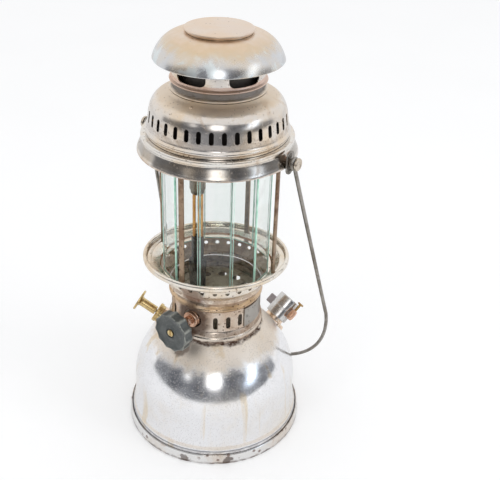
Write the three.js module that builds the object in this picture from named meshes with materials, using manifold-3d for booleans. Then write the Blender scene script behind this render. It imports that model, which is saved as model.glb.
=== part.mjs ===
// A kerosene pressure lantern in millimetres, +Z up. The origin is the centre of the foot ring.
// Azimuth 0 is -Y, and azimuths grow towards +X.
import * as THREE from 'three';
import { mergeVertices } from 'three/addons/utils/BufferGeometryUtils.js';
import Module from 'manifold-3d';

const wasm = await Module();
wasm.setup();

const degree = Math.PI / 180;
const quarterTurn = Math.PI / 2;

// Clearances and facets shared by every piece.
const seatGap = 0.3;
const runningGap = 0.4;
const cutOverrun = 4;
const ringSides = 24;
const collarSides = 22;
const casingSides = 12;
const hoodSides = 20;
const turnedSides = 12;
const rodSides = 8;
const holeSides = 6;

// Fuel tank and foot pan, from sheet brass.
const tankSeamRadius = 84.5;
const panFlare = 2.5;
const footRadius = tankSeamRadius + panFlare;
const footRingWidth = 9;
const panHeight = 10.7;
const panSheet = 1.2;
const panDish = 5;
const tankSheet = 1.2;
const tankWaistInset = 4.9;
const tankWaistRadius = tankSeamRadius - tankWaistInset;
const tankSeatHeight = 112;
const tankShoulderRise = 64;
const tankWaistHeight = tankSeatHeight - tankShoulderRise;
const tankDomeRise = 7;
const tankTopHeight = tankSeatHeight + tankDomeRise;
const waistEase = 2.2;
const shoulderShares = [0.28, 0.69, 0.5];
const domeShare = 0.85;
const shoulderSteps = 5;
const domeSteps = 3;
const wallSteps = 2;

// Collar between the tank and the gallery.
const collarRadius = 42.2;
const collarSheet = 1;
const collarHeight = 45.1;
const collarLift = 0.9;
const collarFootHeight = tankSeatHeight + collarLift;
const collarTopHeight = collarFootHeight + collarHeight;
const tankSeatMargin = 2.3;
const tankSeatRadius = collarRadius + tankSeatMargin;
const collarSlotCount = 19;
const collarSlotSpread = 296 * degree;
const collarSlotWidth = 4.3;
const collarSlotHeight = 13;
const collarSlotRise = 21.6;
const collarSlotCentre = collarFootHeight + collarSlotRise;
const spindleHoleRadius = 9.3;

// Door plate that wraps the collar beside the last slot.
const doorStart = 39 * degree;
const doorSpan = 92 * degree;
const doorSheet = 0.8;
const doorHeight = 20;

// Gallery: the flared cup that carries the frame and the glass.
const galleryFoot = collarTopHeight + seatGap;
const galleryFootMargin = 4.2;
const galleryFootRadius = collarRadius + galleryFootMargin;
const galleryHeight = 34;
const gallerySheet = 1;
const galleryHoleCount = 28;
const galleryHoleDiameter = 3.5;
const galleryHoleRise = 11.3;
const galleryHoleHeight = galleryFoot + galleryHoleRise;
const galleryHoleSegments = 2;
const glassLedgeRise = 16.5;
const glassLedgeHeight = galleryFoot + glassLedgeRise;
const glassLedgeThickness = 1.2;
const glassLedgeMargin = 0.2;
const glassLedgeRadius = galleryFootRadius + glassLedgeMargin;

// Burner plate inside the collar, with a ring of large air holes.
const burnerPlateDrop = 13;
const burnerPlateHeight = collarTopHeight - burnerPlateDrop;
const burnerPlateSheet = 1.2;
const airHoleCount = 12;
const airHoleDiameter = 9;
const airHoleInset = 13.2;
const airHoleRingRadius = collarRadius - airHoleInset;
const airHolePhase = -12 * degree;

// Frame: four uprights under a flared top ring.
const uprightMargin = 13.1;
const uprightRadius = galleryFootRadius + uprightMargin;
const uprightWidth = 5;
const uprightDepth = 2.4;
const uprightCorner = 0.8;
const uprightPhase = -30 * degree;
const uprightCount = 4;
const frameMargin = 10.5;
const frameRadius = uprightRadius + frameMargin;
const frameRise = 118.8;
const frameFootHeight = glassLedgeHeight + frameRise;
const frameRingHeight = 16;
const frameSheet = 1;
const frameFlangeRise = 10.4;
const frameFlangeHeight = frameFootHeight + frameFlangeRise;
const frameFlangeWidth = 26;
const frameFlangeInner = frameRadius - frameFlangeWidth;
const frameFlangeSheet = 1.3;

// Glass: flat strips in a ring, with a wider strip in front of the joint that faces the handwheel.
const glassStripCount = 12;
const glassCornerMargin = 3.8;
const glassCornerRadius = galleryFootRadius + glassCornerMargin;
const glassThickness = 2.2;
const frontStripWidth = 31.2;
const frontStripLift = 5.2;
const glassPhase = -1 * degree;

// Hood: drum with air slots, neck with windows, lid and cap.
const hoodInset = 10.6;
const hoodRadius = frameRadius - hoodInset;
const hoodSheet = 1;
const hoodFoot = frameFootHeight + frameRingHeight + seatGap;
const hoodHeight = 38.7;
const hoodSlotCount = 32;
const hoodSlotWidth = 4;
const hoodSlotHeight = 10.6;
const hoodSlotRise = 16.8;
const hoodSlotCentre = hoodFoot + hoodSlotRise;
const neckFoot = hoodFoot + hoodHeight + seatGap;
const neckInset = 18.2;
const hoodNeckRadius = hoodRadius - neckInset;
const neckSheet = 1;
const neckWindowCount = 5;
const neckWindowWidth = 29.5;
const neckWindowRise = 11.5;
const neckWindowFoot = neckFoot + neckWindowRise;
const neckWindowHeight = 22.6;
const neckWindowCorner = 5;
const neckWindowPhase = 34.5 * degree;
const lidOverhang = 13.8;
const lidRadius = hoodNeckRadius + lidOverhang;
const lidRise = 22.8;
const lidFootHeight = neckFoot + lidRise;
const lidHeight = 24;
const lidLipHeight = 3;
const lidSheet = 1;
const lidShoulderWidth = 27.6;
const lidShoulderRadius = lidRadius - lidShoulderWidth;
const lidArcSteps = 6;
const lidArcPowers = [1.1, 1.15];
const lidHoleShare = 0.62;
const capOverhang = 1.5;
const capRadius = lidShoulderRadius + capOverhang;
const capThickness = 4;

// Inner casing, mixing tube and clay burner nozzle, carried by the hood.
const casingInset = 18.4;
const casingRadius = hoodRadius - casingInset;
const casingStep = 8;
const casingChimneyRadius = casingRadius - casingStep;
const casingSheet = 1;
const casingTopGap = 1.7;
const casingTopHeight = lidFootHeight - casingTopGap;
const casingFootGap = 2;
const casingFootRadius = hoodRadius - casingFootGap;
const casingKneeRise = 31.7;
const casingKneeHeight = hoodFoot + casingKneeRise;
const casingBandRise = 4.1;
const casingBandHeight = neckFoot + casingBandRise;
const bridgeWidth = 20;
const mixingTubeRadius = 7;
const mixingTubeWall = 1;
const mixingTubeRise = 8;
const mixingTubeTopHeight = frameFlangeHeight + mixingTubeRise;
const mixingTubeTurns = 6;
const jetAirGap = 6;
const nozzleRadius = 12;
const nozzleHeight = 22;
const nozzleBore = 6;
const nozzleDrop = 5;
const nozzleTopHeight = frameFlangeHeight - nozzleDrop;

// Vaporizer, standing off the lantern's axis towards the handwheel.
const vaporizerInset = 10.56;
const vaporizerReach = collarRadius - vaporizerInset;
const vaporizerAzimuth = -31.43 * degree;
const vaporizerX = vaporizerReach * Math.sin(vaporizerAzimuth);
const vaporizerY = -vaporizerReach * Math.cos(vaporizerAzimuth);
const needleOffset = 2.3;
const sideTubeOffset = -2.8;
const vaporizerBlockRadius = 8.3;
const blockRise = 5;
const vaporizerBlockTop = burnerPlateHeight + blockRise;
const sleeveRadius = 5.2;
const sleeveLength = 70;
const sleeveTopHeight = vaporizerBlockTop + sleeveLength;
const blockBoreRadius = 4.9;
const blockBoreHeight = 15;
const pickupRadius = 3.5;
const pickupWall = 0.9;
const pickupFootHeight = 12;
const cupTopRadius = 7.75;
const cupFootRadius = 6.5;
const cupRise = 45;
const cupTopHeight = vaporizerBlockTop + cupRise;
const cupSheet = 0.9;
const mainTubeRadius = 2.4;
const mainTubeWall = 0.7;
const sideTubeRadius = 1.4;
const sideTubeWall = 0.6;
const headDrop = 41;
const headFootHeight = frameFlangeHeight - headDrop;
const headHeight = 19;
const headRadius = 6.7;
const jetRadius = 2.9;
const jetHeight = 8;
const jetBoreRadius = 0.6;

// Spindle with its eccentric pin, stuffing box, gland nut and handwheel.
const spindleAzimuth = -39.4 * degree;
const spindleRise = 23.1;
const spindleHeight = collarFootHeight + spindleRise;
const spindleRadius = 1.6;
const spindleInnerEnd = 3.2;
const spindleOuterEnd = 39.6;
const eccentricOffset = 1.5;
const eccentricPinRadius = 0.8;
const eccentricPinLength = 4;
const bossSeat = 7;
const bossRadius = 7.7;
const bossLength = 7.8;
const glandRadius = 4.6;
const glandLength = 5;
const nutSides = 6;
const wheelRadius = 17.7;
const wheelLobes = 11;
const wheelLobeDepth = 0.9;
const wheelLobeSteps = 4;
const wheelLobePower = 0.6;
const wheelThickness = 10;
const wheelOuterFace = 41.8;
const wheelWeb = 3.6;
const wheelHubRadius = 4.6;
const wheelRimWidth = 4.4;
const wheelRecessRadius = 4.9;
const wheelRecessDepth = 1.4;
const wheelScrewRadius = 3.3;
const wheelScrewHeight = 1.2;
const wheelScrewSlot = 1;
const wheelShankRadius = 0.9;
const wheelShankLength = 5;
const needleRodRadius = 0.8;
const yokeWidth = 7.4;
const yokeDepth = 3.6;
const yokeHeight = 5.6;
const yokeSlotClearance = 0.45;
const needleRadius = 0.35;
const footValveRadius = 1.9;
const footValveHeight = 2.6;

// Pump.
const pumpAzimuth = -107.1 * degree;
const pumpTilt = 61.1 * degree;
const pumpDrop = 7;
const pumpHeight = tankSeatHeight - pumpDrop;
const pumpStandoff = 11.640;
const barrelRadius = 8.4;
const barrelWall = 1;
const barrelLength = 104;
const barrelHoleDepth = 35;
const pumpCapRadius = 9.9;
const pumpCapTop = 1.6;
const pumpCapSkirt = 4.4;
const pumpRodRadius = 1.8;
const pumpKnobRadius = 10.9;
const pumpKnobReach = 21.3;
const pumpKnobRest = 0.8;
const pumpKnobSocket = 8;
const pistonRoom = 16;
const pistonDepth = barrelLength - pistonRoom;
const pistonHeight = 7;
const valveRadius = 5;
const valveLength = 9;

// Filler with its gauge cap and release screw.
const fillerAzimuth = 121.1 * degree;
const fillerTilt = 49.7 * degree;
const fillerDrop = 25.5;
const fillerHeight = tankSeatHeight - fillerDrop;
const fillerStandoff = 8.792;
const fillerHoleDepth = 18;
const neckThreadCount = 3;
const neckOuterRadius = 10;
const neckBoreRadius = 8.4;
const neckFlangeRadius = 13.2;
const neckFlangeTop = -4.4;
const neckFlangeDepth = 9;
const fillerNeckTop = 7.4;
const gasketThickness = 1.6;
const fillerCapRadius = 11.7;
const fillerCapHeight = 24;
const fillerCapWall = 1.3;
const fillerCapSeam = 11.5;
const gaugeRecess = 3.2;
const gaugeRim = 1.5;
const dialThickness = 0.8;
const lensThickness = 0.7;
const pointerLength = 7;
const pointerWidth = 1.1;
const pointerThickness = 0.4;
const wingReach = 8.6;
const wingLength = 10;
const wingDepth = 7.6;
const wingCentre = 11;
const elbowOffset = 15.8;
const elbowRadius = 3.6;
const elbowFoot = 6.2;
const elbowTop = 17.6;
const releaseStemRadius = 1.35;
const releaseBarHeight = 26;
const releaseBarLength = 8.4;
const releaseBarRadius = 1;

// Ears, pins and bail.
const earAzimuth = 57.4 * degree;
const earRise = 4.6;
const earHeight = frameFootHeight + earRise;
const earPlateWidth = 12.4;
const earPlateHeight = 21;
const earPlateThickness = 1.6;
const earPinRadius = 2;
const earPinShoulderRadius = 3.6;
const earPinHeadRadius = 5.6;
const earPinHeadThickness = 3;
const earPinNutRadius = 4.2;
const earPinNutThickness = 2.6;
const bailEyeStandoff = 5.15;
const bailEyeReach = frameRadius + bailEyeStandoff;
const bailEyeBore = 2.6;
const bailWireRadius = 1.75;
const bailSpread = 18.65;
const bailHalfWidth = bailEyeReach + bailSpread;
const bailLegLength = 186.4;
const bailBowDepth = 108.5;
const bailRestGap = 0.45;
const bailTilt = Math.asin((tankSeamRadius + bailRestGap + bailWireRadius) / (bailLegLength + bailBowDepth));
const bailLegSteps = 1;
const bailBowSteps = 16;
const bailEyeSides = 10;
const wireSides = 6;

// Finishes.
function finish(color, roughness, metalness) {
  return new THREE.MeshStandardMaterial({ color, roughness, metalness });
}

const nickel = finish(0xd8d2c8, 0.28, 1);
const tarnish = finish(0xcbb9a2, 0.36, 1);
const brass = finish(0xc2a25a, 0.34, 1);
const copper = finish(0xc58d68, 0.38, 1);
const rust = finish(0x77573f, 0.7, 0.5);
const soot = finish(0x3b3833, 0.7, 0.4);
const steel = finish(0x8a8880, 0.4, 1);
const glass = finish(0xcfe3dd, 0.06, 0);
const bakelite = finish(0x4a5350, 0.5, 0.1);
const clay = finish(0xe6e0d2, 0.9, 0);
const leather = finish(0x5a4330, 0.85, 0);
const rubber = finish(0x2c2a28, 0.85, 0);
const enamel = finish(0xf0efe9, 0.5, 0);

// A closed geometry becomes a solid that can be cut and joined, and back.
function solid(geometry) {
  const bare = geometry.clone();
  bare.deleteAttribute('normal');
  bare.deleteAttribute('uv');
  const merged = mergeVertices(bare);
  const corners = merged.index.array;
  const kept = [];
  for (let i = 0; i < corners.length; i += 3) {
    const [a, b, c] = [corners[i], corners[i + 1], corners[i + 2]];
    if (a !== b && b !== c && c !== a) kept.push(a, b, c);
  }
  const mesh = new wasm.Mesh({
    numProp: 3,
    vertProperties: new Float32Array(merged.attributes.position.array),
    triVerts: new Uint32Array(kept),
  });
  return new wasm.Manifold(mesh);
}

function geometryOf(body) {
  const mesh = body.getMesh();
  const geometry = new THREE.BufferGeometry();
  geometry.setAttribute('position', new THREE.BufferAttribute(new Float32Array(mesh.vertProperties), 3));
  geometry.setIndex(new THREE.BufferAttribute(new Uint32Array(mesh.triVerts), 1));
  geometry.computeVertexNormals();
  return geometry;
}

const cut = (base, tools) => geometryOf(tools.reduce((body, tool) => body.subtract(solid(tool)), solid(base)));
const join = ([first, ...rest]) => geometryOf(rest.reduce((body, next) => body.add(solid(next)), solid(first)));

// Basic forms, all standing on +Z.
function revolved(points, sides = ringSides, turn = 0) {
  const geometry = new THREE.LatheGeometry(points.map(([r, z]) => new THREE.Vector2(r, z)), sides);
  return geometry.rotateX(quarterTurn).rotateZ(turn);
}

const ring = (inner, outer, foot, top, sides = ringSides) =>
  revolved([[inner, foot], [outer, foot], [outer, top], [inner, top], [inner, foot]], sides);

const disc = (radius, foot, top, sides = ringSides) =>
  revolved([[0, foot], [radius, foot], [radius, top], [0, top]], sides);

function block(width, depth, height, x = 0, y = 0, z = 0) {
  return new THREE.BoxGeometry(width, depth, height).translate(x, y, z);
}

// The inner side of a sheet whose outer line is listed upwards or outwards-in.
function insetLine(outer, thickness) {
  return outer.map(([r, z], i) => {
    const [before, after] = [outer[Math.max(i - 1, 0)], outer[Math.min(i + 1, outer.length - 1)]];
    const normals = [[before, [r, z]], [[r, z], after]]
      .map(([a, b]) => new THREE.Vector2(a[1] - b[1], b[0] - a[0]))
      .filter((normal) => normal.length() > 0)
      .map((normal) => normal.normalize());
    const mean = normals.reduce((sum, normal) => sum.add(normal), new THREE.Vector2()).normalize();
    const stretch = Math.max(mean.dot(normals[0]), Math.SQRT1_2);
    const moved = new THREE.Vector2(r, z).add(mean.multiplyScalar(thickness / stretch));
    return [moved.x, moved.y];
  });
}

// A sheet whose inner side passes over some of the outer side's small steps.
function sheetLoop(outer, thickness, passedOver = []) {
  const followed = outer.filter((_, i) => !passedOver.includes(i));
  return [...outer, ...insetLine(followed, thickness).reverse(), outer[0]];
}

const scaledLine = (shares, radius, foot, height) => shares.map(([r, z]) => [r * radius, foot + z * height]);

// A turned piece, from shares of its radius and height, closed on the axis or on a bore.
function turned(shares, radius, foot, height, sides, bore = 0) {
  const line = [[bore, foot], ...scaledLine(shares, radius, foot, height), [bore, foot + height]];
  return revolved(bore > 0 ? [...line, line[0]] : line, sides);
}

// The radius of a rising line at one height, and the height of a closing line at one radius.
function crossing(line, value, known, wanted) {
  const i = line.findIndex((point, n) => n > 0 && (point[known] - value) * (line[n - 1][known] - value) <= 0);
  const [a, b] = [line[i - 1], line[i]];
  return a[wanted] + ((value - a[known]) / (b[known] - a[known])) * (b[wanted] - a[wanted]);
}

const radiusAt = (line, height) => crossing(line, height, 1, 0);
const heightAt = (line, radius) => crossing(line, radius, 0, 1);

// A slot outline with round ends, standing up.
function slotOutline(width, height) {
  const radius = width / 2;
  const half = height / 2 - radius;
  const outline = new THREE.Shape();
  outline.absarc(0, half, radius, 0, Math.PI);
  outline.absarc(0, -half, radius, Math.PI, 2 * Math.PI);
  outline.closePath();
  return outline;
}

function roundedOutline(width, height, corner) {
  const [x, y] = [width / 2, height / 2];
  const outline = new THREE.Shape();
  outline.absarc(x - corner, y - corner, corner, 0, quarterTurn);
  outline.absarc(corner - x, y - corner, corner, quarterTurn, Math.PI);
  outline.absarc(corner - x, corner - y, corner, Math.PI, 3 * quarterTurn);
  outline.absarc(x - corner, corner - y, corner, 3 * quarterTurn, 4 * quarterTurn);
  outline.closePath();
  return outline;
}

function extruded(outline, depth, curveSegments = 3) {
  return new THREE.ExtrudeGeometry(outline, { depth, bevelEnabled: false, curveSegments });
}

// A round wire through stations of local X and Z. With a bore it is a tube, open at both ends.
function swept(stations, radius, sides, bore = 0) {
  const loopsOf = (size) => stations.map((station, i) => {
    const after = stations[Math.min(i + 1, stations.length - 1)];
    const along = after.clone().sub(stations[Math.max(i - 1, 0)]).normalize();
    return Array.from({ length: sides }, (_, k) => {
      const angle = (k / sides) * 2 * Math.PI;
      const across = size * Math.cos(angle);
      return [station.x + across * along.y, size * Math.sin(angle), station.y - across * along.x];
    });
  });
  const outer = loopsOf(radius);
  const loops = bore > 0 ? [...outer, ...loopsOf(bore).reverse(), outer[0]] : outer;
  const corners = [];
  loops.slice(1).forEach((next, i) => {
    for (let k = 0; k < sides; k++) {
      const turn = (k + 1) % sides;
      corners.push(loops[i][k], loops[i][turn], next[turn], loops[i][k], next[turn], next[k]);
    }
  });
  for (let k = 2; bore === 0 && k < sides; k++) {
    corners.push(outer[0][0], outer[0][k], outer[0][k - 1]);
    corners.push(outer.at(-1)[0], outer.at(-1)[k - 1], outer.at(-1)[k]);
  }
  const geometry = new THREE.BufferGeometry();
  geometry.setAttribute('position', new THREE.BufferAttribute(new Float32Array(corners.flat()), 3));
  return geometry;
}

// Where a local +Z points outward at an azimuth, leaning over from upright by a tilt.
function aim(azimuth, tilt, reach, height) {
  return new THREE.Matrix4()
    .makeRotationZ(azimuth)
    .multiply(new THREE.Matrix4().makeTranslation(0, -reach, height))
    .multiply(new THREE.Matrix4().makeRotationX(tilt));
}

const around = (count, start, span = 2 * Math.PI) =>
  Array.from({ length: count }, (_, i) => start + (i * span) / count);

// Wall slots are cut by wedges that widen from the axis out through the wall.
function wallPlugs(azimuths, outline, radius, height, curveSegments = 1) {
  const spread = (radius + cutOverrun) / radius;
  const rim = outline.getPoints(curveSegments)
    .slice(0, -1)
    .map((p) => [p.x * spread, p.y * spread, cutOverrun]);
  const corners = [];
  rim.forEach((corner, i) => {
    const next = rim[(i + 1) % rim.length];
    corners.push([0, 0, -radius], next, corner, rim[0], corner, next);
  });
  const wedge = new THREE.BufferGeometry();
  wedge.setAttribute('position', new THREE.BufferAttribute(new Float32Array(corners.flat()), 3));
  return azimuths.map((azimuth) => wedge.clone().applyMatrix4(aim(azimuth, quarterTurn, radius, height)));
}

const lantern = new THREE.Group();

function piece(name, geometry, material, parent = lantern) {
  const mesh = new THREE.Mesh(geometryOf(solid(geometry)), material);
  mesh.name = name;
  parent.add(mesh);
  return mesh;
}

function assembly(matrix, parent = lantern) {
  const group = new THREE.Group();
  group.applyMatrix4(matrix);
  parent.add(group);
  return group;
}

const needleX = vaporizerX + needleOffset;
const spindleFrame = new THREE.Matrix4()
  .makeTranslation(needleX, vaporizerY, spindleHeight)
  .multiply(new THREE.Matrix4().makeRotationZ(spindleAzimuth))
  .multiply(new THREE.Matrix4().makeRotationX(quarterTurn));

// The tank's outer line, moved inwards by an inset: wall, shoulder curve, then the dome inside the collar.
function tankLine(inset, footHeight) {
  const waist = tankWaistRadius - inset;
  const seat = tankSeatRadius - inset;
  const seatHeight = tankSeatHeight - inset;
  const top = tankTopHeight - inset;
  const rise = seatHeight - tankWaistHeight;
  const [waistUp, seatUp, seatOut] = shoulderShares;
  const line = [[tankSeamRadius - inset, footHeight]];
  for (let i = 0; i < wallSteps; i++) {
    const share = i / wallSteps;
    const flare = (tankSeamRadius - tankWaistRadius) * (1 - share) ** waistEase;
    line.push([waist + flare, panHeight + share * (tankWaistHeight - panHeight)]);
  }
  const shoulder = new THREE.CubicBezierCurve(
    new THREE.Vector2(waist, tankWaistHeight),
    new THREE.Vector2(waist, tankWaistHeight + waistUp * rise),
    new THREE.Vector2(seat + seatOut * (waist - seat), tankWaistHeight + seatUp * rise),
    new THREE.Vector2(seat, seatHeight),
  );
  const dome = new THREE.QuadraticBezierCurve(
    new THREE.Vector2(seat, seatHeight),
    new THREE.Vector2(seat * domeShare, top),
    new THREE.Vector2(0, top),
  );
  line.push(...shoulder.getPoints(shoulderSteps).map((p) => [p.x, p.y]));
  line.push(...dome.getPoints(domeSteps).slice(1).map((p) => [p.x, p.y]));
  return line;
}

const tankOuter = tankLine(0, panSheet + seatGap);
const pumpReach = radiusAt(tankOuter, pumpHeight) + pumpStandoff;
const pumpFrame = aim(pumpAzimuth, pumpTilt, pumpReach, pumpHeight);
const fillerReach = radiusAt(tankOuter, fillerHeight) + fillerStandoff;
const fillerFrame = aim(fillerAzimuth, fillerTilt, fillerReach, fillerHeight);

function makeTank() {
  const rimInner = tankSeamRadius + seatGap;
  const ringInner = footRadius - footRingWidth;
  const dishInner = ringInner - footRingWidth;
  const rimTop = rimInner + panSheet;
  piece('base_pan', revolved([
    [0, panDish], [dishInner, panDish], [ringInner, 0], [footRadius, 0], [rimTop, panHeight],
    [rimInner, panHeight], [rimInner, panSheet], [ringInner + panSheet / 2, panSheet],
    [dishInner + panSheet / 2, panDish + panSheet], [0, panDish + panSheet],
  ]), nickel);

  const shellFoot = panSheet + seatGap;
  const inner = tankLine(tankSheet, shellFoot).filter((_, i, line) => i % 2 === 0 || i === line.length - 1);
  const shell = revolved([...tankOuter, ...inner.reverse(), tankOuter[0]]);
  const fillerHole = disc(neckBoreRadius, -fillerHoleDepth, cutOverrun, turnedSides)
    .applyMatrix4(fillerFrame);
  const barrelHole = disc(barrelRadius + seatGap, -barrelHoleDepth, cutOverrun, turnedSides)
    .applyMatrix4(pumpFrame);
  const domeTop = tankTopHeight + cutOverrun;
  const pickupHole = disc(pickupRadius + seatGap, tankSeatHeight - cutOverrun, domeTop, rodSides)
    .translate(needleX, vaporizerY, 0);
  piece('tank_shell', cut(shell, [fillerHole, barrelHole, pickupHole]), nickel);
}

// Collar: foot ring, lower bead, slotted wall, upper bead and a seat for the gallery.
const collarShares = [
  [1.066, 0], [1.075, 0.03], [1.075, 0.12], [1.05, 0.145], [1.064, 0.195], [1.02, 0.235], [1, 0.275],
  [1, 0.755], [1.062, 0.8], [1.062, 0.845], [1, 0.9], [1, 1],
];
const collarSteps = [1, 2, 4, 5, 8, 9, 10];

function makeCollar() {
  const line = scaledLine(collarShares, collarRadius, collarFootHeight, collarHeight);
  const wall = sheetLoop(line, collarSheet, collarSteps);
  const slotPitch = collarSlotSpread / (collarSlotCount - 1);
  const slots = Array.from({ length: collarSlotCount }, (_, i) => i * slotPitch);
  const outline = slotOutline(collarSlotWidth, collarSlotHeight);
  const plugs = wallPlugs(slots, outline, collarRadius, collarSlotCentre);
  const spindleHole = disc(spindleHoleRadius, bossSeat, collarRadius, turnedSides)
    .applyMatrix4(spindleFrame);
  const tube = revolved(wall, collarSides, Math.PI / collarSides);
  piece('collar', cut(tube, [...plugs, spindleHole]), tarnish);

  const doorInner = collarRadius + seatGap;
  const door = new THREE.Shape();
  door.absarc(0, 0, doorInner + doorSheet, doorStart - quarterTurn, doorStart + doorSpan - quarterTurn);
  door.absarc(0, 0, doorInner, doorStart + doorSpan - quarterTurn, doorStart - quarterTurn, true);
  door.closePath();
  const doorFoot = collarSlotCentre - doorHeight / 2 + doorSheet;
  piece('collar_door', extruded(door, doorHeight, 6).translate(0, 0, doorFoot), tarnish);
}

// Gallery: cone with a ring of small holes, well, flange and rolled rim.
const galleryShares = [
  [0.9, 0], [0.985, 0], [1.118, 0.48], [1.183, 0.655], [1.19, 0.8], [1.42, 0.87], [1.472, 0.93], [1.43, 1],
  [1.385, 0.965],
];

const galleryLine = scaledLine(galleryShares, galleryFootRadius, galleryFoot, galleryHeight);
const galleryInner = insetLine(galleryLine, gallerySheet);

function makeGallery() {
  const halfFacet = Math.PI / galleryHoleCount;
  const ledgeFoot = glassLedgeHeight - glassLedgeThickness;
  const ledge = [
    [radiusAt(galleryInner, ledgeFoot), ledgeFoot], [glassLedgeRadius, glassLedgeHeight],
    [radiusAt(galleryInner, glassLedgeHeight), glassLedgeHeight],
  ];
  const below = galleryInner.filter(([, z]) => z < ledgeFoot);
  const inside = [...below, ...ledge, ...galleryInner.slice(below.length)];
  const loop = [...galleryLine, ...inside.reverse(), galleryLine[0]];
  const cup = revolved(loop, galleryHoleCount, glassPhase + halfFacet);
  const reach = radiusAt(galleryLine, galleryHoleHeight) * Math.cos(halfFacet);
  const hole = new THREE.Shape().absarc(0, 0, galleryHoleDiameter / 2, 0, 2 * Math.PI);
  const azimuths = around(galleryHoleCount, glassPhase);
  const plugs = wallPlugs(azimuths, hole, reach, galleryHoleHeight, galleryHoleSegments);
  piece('gallery', cut(cup, plugs), tarnish);

  const plateRadius = (collarRadius - collarSheet) * Math.cos(Math.PI / collarSides) - seatGap;
  const plateTop = burnerPlateHeight + burnerPlateSheet;
  const blockCentre = new THREE.Vector2(vaporizerX, vaporizerY);
  const keepOff = vaporizerBlockRadius + airHoleDiameter / 2 + seatGap + burnerPlateSheet;
  const airHole = disc(airHoleDiameter / 2, burnerPlateHeight - cutOverrun, plateTop + cutOverrun, holeSides);
  const airHoles = around(airHoleCount, airHolePhase)
    .map((azimuth) => new THREE.Vector2(Math.sin(azimuth), -Math.cos(azimuth)))
    .map((direction) => direction.multiplyScalar(airHoleRingRadius))
    .filter((centre) => centre.distanceTo(blockCentre) > keepOff)
    .map((centre) => airHole.clone().translate(centre.x, centre.y, 0));
  const blockRoom = vaporizerBlockRadius + seatGap;
  const blockHole = disc(blockRoom, burnerPlateHeight - cutOverrun, plateTop + cutOverrun, turnedSides)
    .translate(vaporizerX, vaporizerY, 0);
  const plate = disc(plateRadius, burnerPlateHeight, plateTop);
  piece('burner_plate', cut(plate, [...airHoles, blockHole]), rust);
}

const uprightSides = ['front', 'right', 'back', 'left'];

// The top ring flares down over the glass and carries a flange that caps the uprights and the glass.
const frameShares = [
  [1, 0], [1, 0.08], [0.981, 0.27], [0.938, 0.74], [0.949, 0.82], [0.949, 0.95], [0.937, 1], [0.855, 1],
];
const frameSteps = [1, 4, 5];

const skirtLine = scaledLine(frameShares, frameRadius, frameFootHeight, frameRingHeight);

function makeFrame() {
  const foot = heightAt(galleryInner, uprightRadius + uprightDepth) + seatGap;
  const top = frameFlangeHeight - seatGap;
  const outline = roundedOutline(uprightWidth, uprightDepth, uprightCorner);
  const azimuths = around(uprightCount, uprightPhase);
  azimuths.forEach((azimuth, i) => {
    const bar = extruded(outline, top - foot, 1).translate(0, -uprightRadius, foot);
    piece(`upright_${uprightSides[i]}`, bar.rotateZ(azimuth), rust);
  });

  const skirt = revolved(sheetLoop(skirtLine, frameSheet, frameSteps), hoodSides);
  const flangeTop = frameFlangeHeight + frameFlangeSheet;
  const flangeOuter = radiusAt(skirtLine, flangeTop) - frameSheet / 2;
  const flange = ring(frameFlangeInner, flangeOuter, frameFlangeHeight, flangeTop, hoodSides);
  const pinHoles = [0, Math.PI].map((turn) =>
    disc(earPinRadius + seatGap, uprightRadius, frameRadius + cutOverrun, rodSides)
      .applyMatrix4(aim(earAzimuth + turn, quarterTurn, 0, earHeight)));
  const body = join([skirt, flange]);
  piece('frame_top_ring', cut(body, pinHoles), nickel);
}

function makeGlass() {
  const pitch = (2 * Math.PI) / glassStripCount;
  const outerFace = glassCornerRadius * Math.cos(pitch / 2);
  const innerFace = outerFace - glassThickness;
  const width = 2 * innerFace * Math.tan(pitch / 2) - seatGap;
  const foot = glassLedgeHeight + seatGap;
  const top = frameFlangeHeight - seatGap;
  const neighbourReach = outerFace * Math.cos(pitch) + (width / 2) * Math.sin(pitch);
  around(glassStripCount, glassPhase).forEach((azimuth, i) => {
    const isFront = i === 0;
    const stripWidth = isFront ? frontStripWidth : width;
    const stripFoot = isFront ? foot + frontStripLift : foot;
    const face = isFront ? neighbourReach + seatGap + glassThickness / 2 : outerFace - glassThickness / 2;
    const height = top - stripFoot;
    const strip = block(stripWidth, glassThickness, height, 0, -face, stripFoot + height / 2);
    piece(`glass_strip_${i + 1}`, strip.rotateZ(azimuth), glass);
  });
}

// The hood's drum: foot, bead, slotted wall, round shoulder and the sloping band under the neck.
const hoodShares = [
  [1.035, 0], [1.054, 0.08], [1.054, 0.12], [1.006, 0.19], [1, 0.61], [0.975, 0.73], [0.92, 0.83],
  [0.8, 0.9], [0.69, 1],
];
const hoodSteps = [1, 2, 5, 7];
const neckShares = [
  [0.95, 0], [1, 0.01], [1.005, 0.035], [0.937, 0.065], [0.937, 0.166], [1, 0.187], [1.008, 0.213],
  [0.945, 0.273], [0.945, 1],
];
const neckSteps = [1, 2, 4, 5, 6];
const lidSteps = [0, 3, 4, 6];
const capShares = [[0.93, 0], [0.93, 0.35], [1, 0.45], [1, 0.6], [0.96, 0.775], [0, 1]];
const bridgeAngle = Math.atan2(vaporizerY, needleX);
const mixingSpan = Math.hypot(needleX, vaporizerY);

function lidOuterLine() {
  const span = lidRadius - lidShoulderRadius;
  const arcFoot = lidFootHeight + lidLipHeight;
  const [acrossPower, upPower] = lidArcPowers;
  const line = [[lidRadius - lidSheet, lidFootHeight], [lidRadius, lidFootHeight + lidSheet]];
  for (let i = 0; i <= lidArcSteps; i++) {
    const angle = (i / lidArcSteps) * quarterTurn;
    const across = Math.cos(angle) ** acrossPower;
    const up = Math.sin(angle) ** upPower;
    line.push([lidShoulderRadius + span * across, arcFoot + (lidFootHeight + lidHeight - arcFoot) * up]);
  }
  line.push([lidShoulderRadius * lidHoleShare, lidFootHeight + lidHeight]);
  return line;
}

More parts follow.
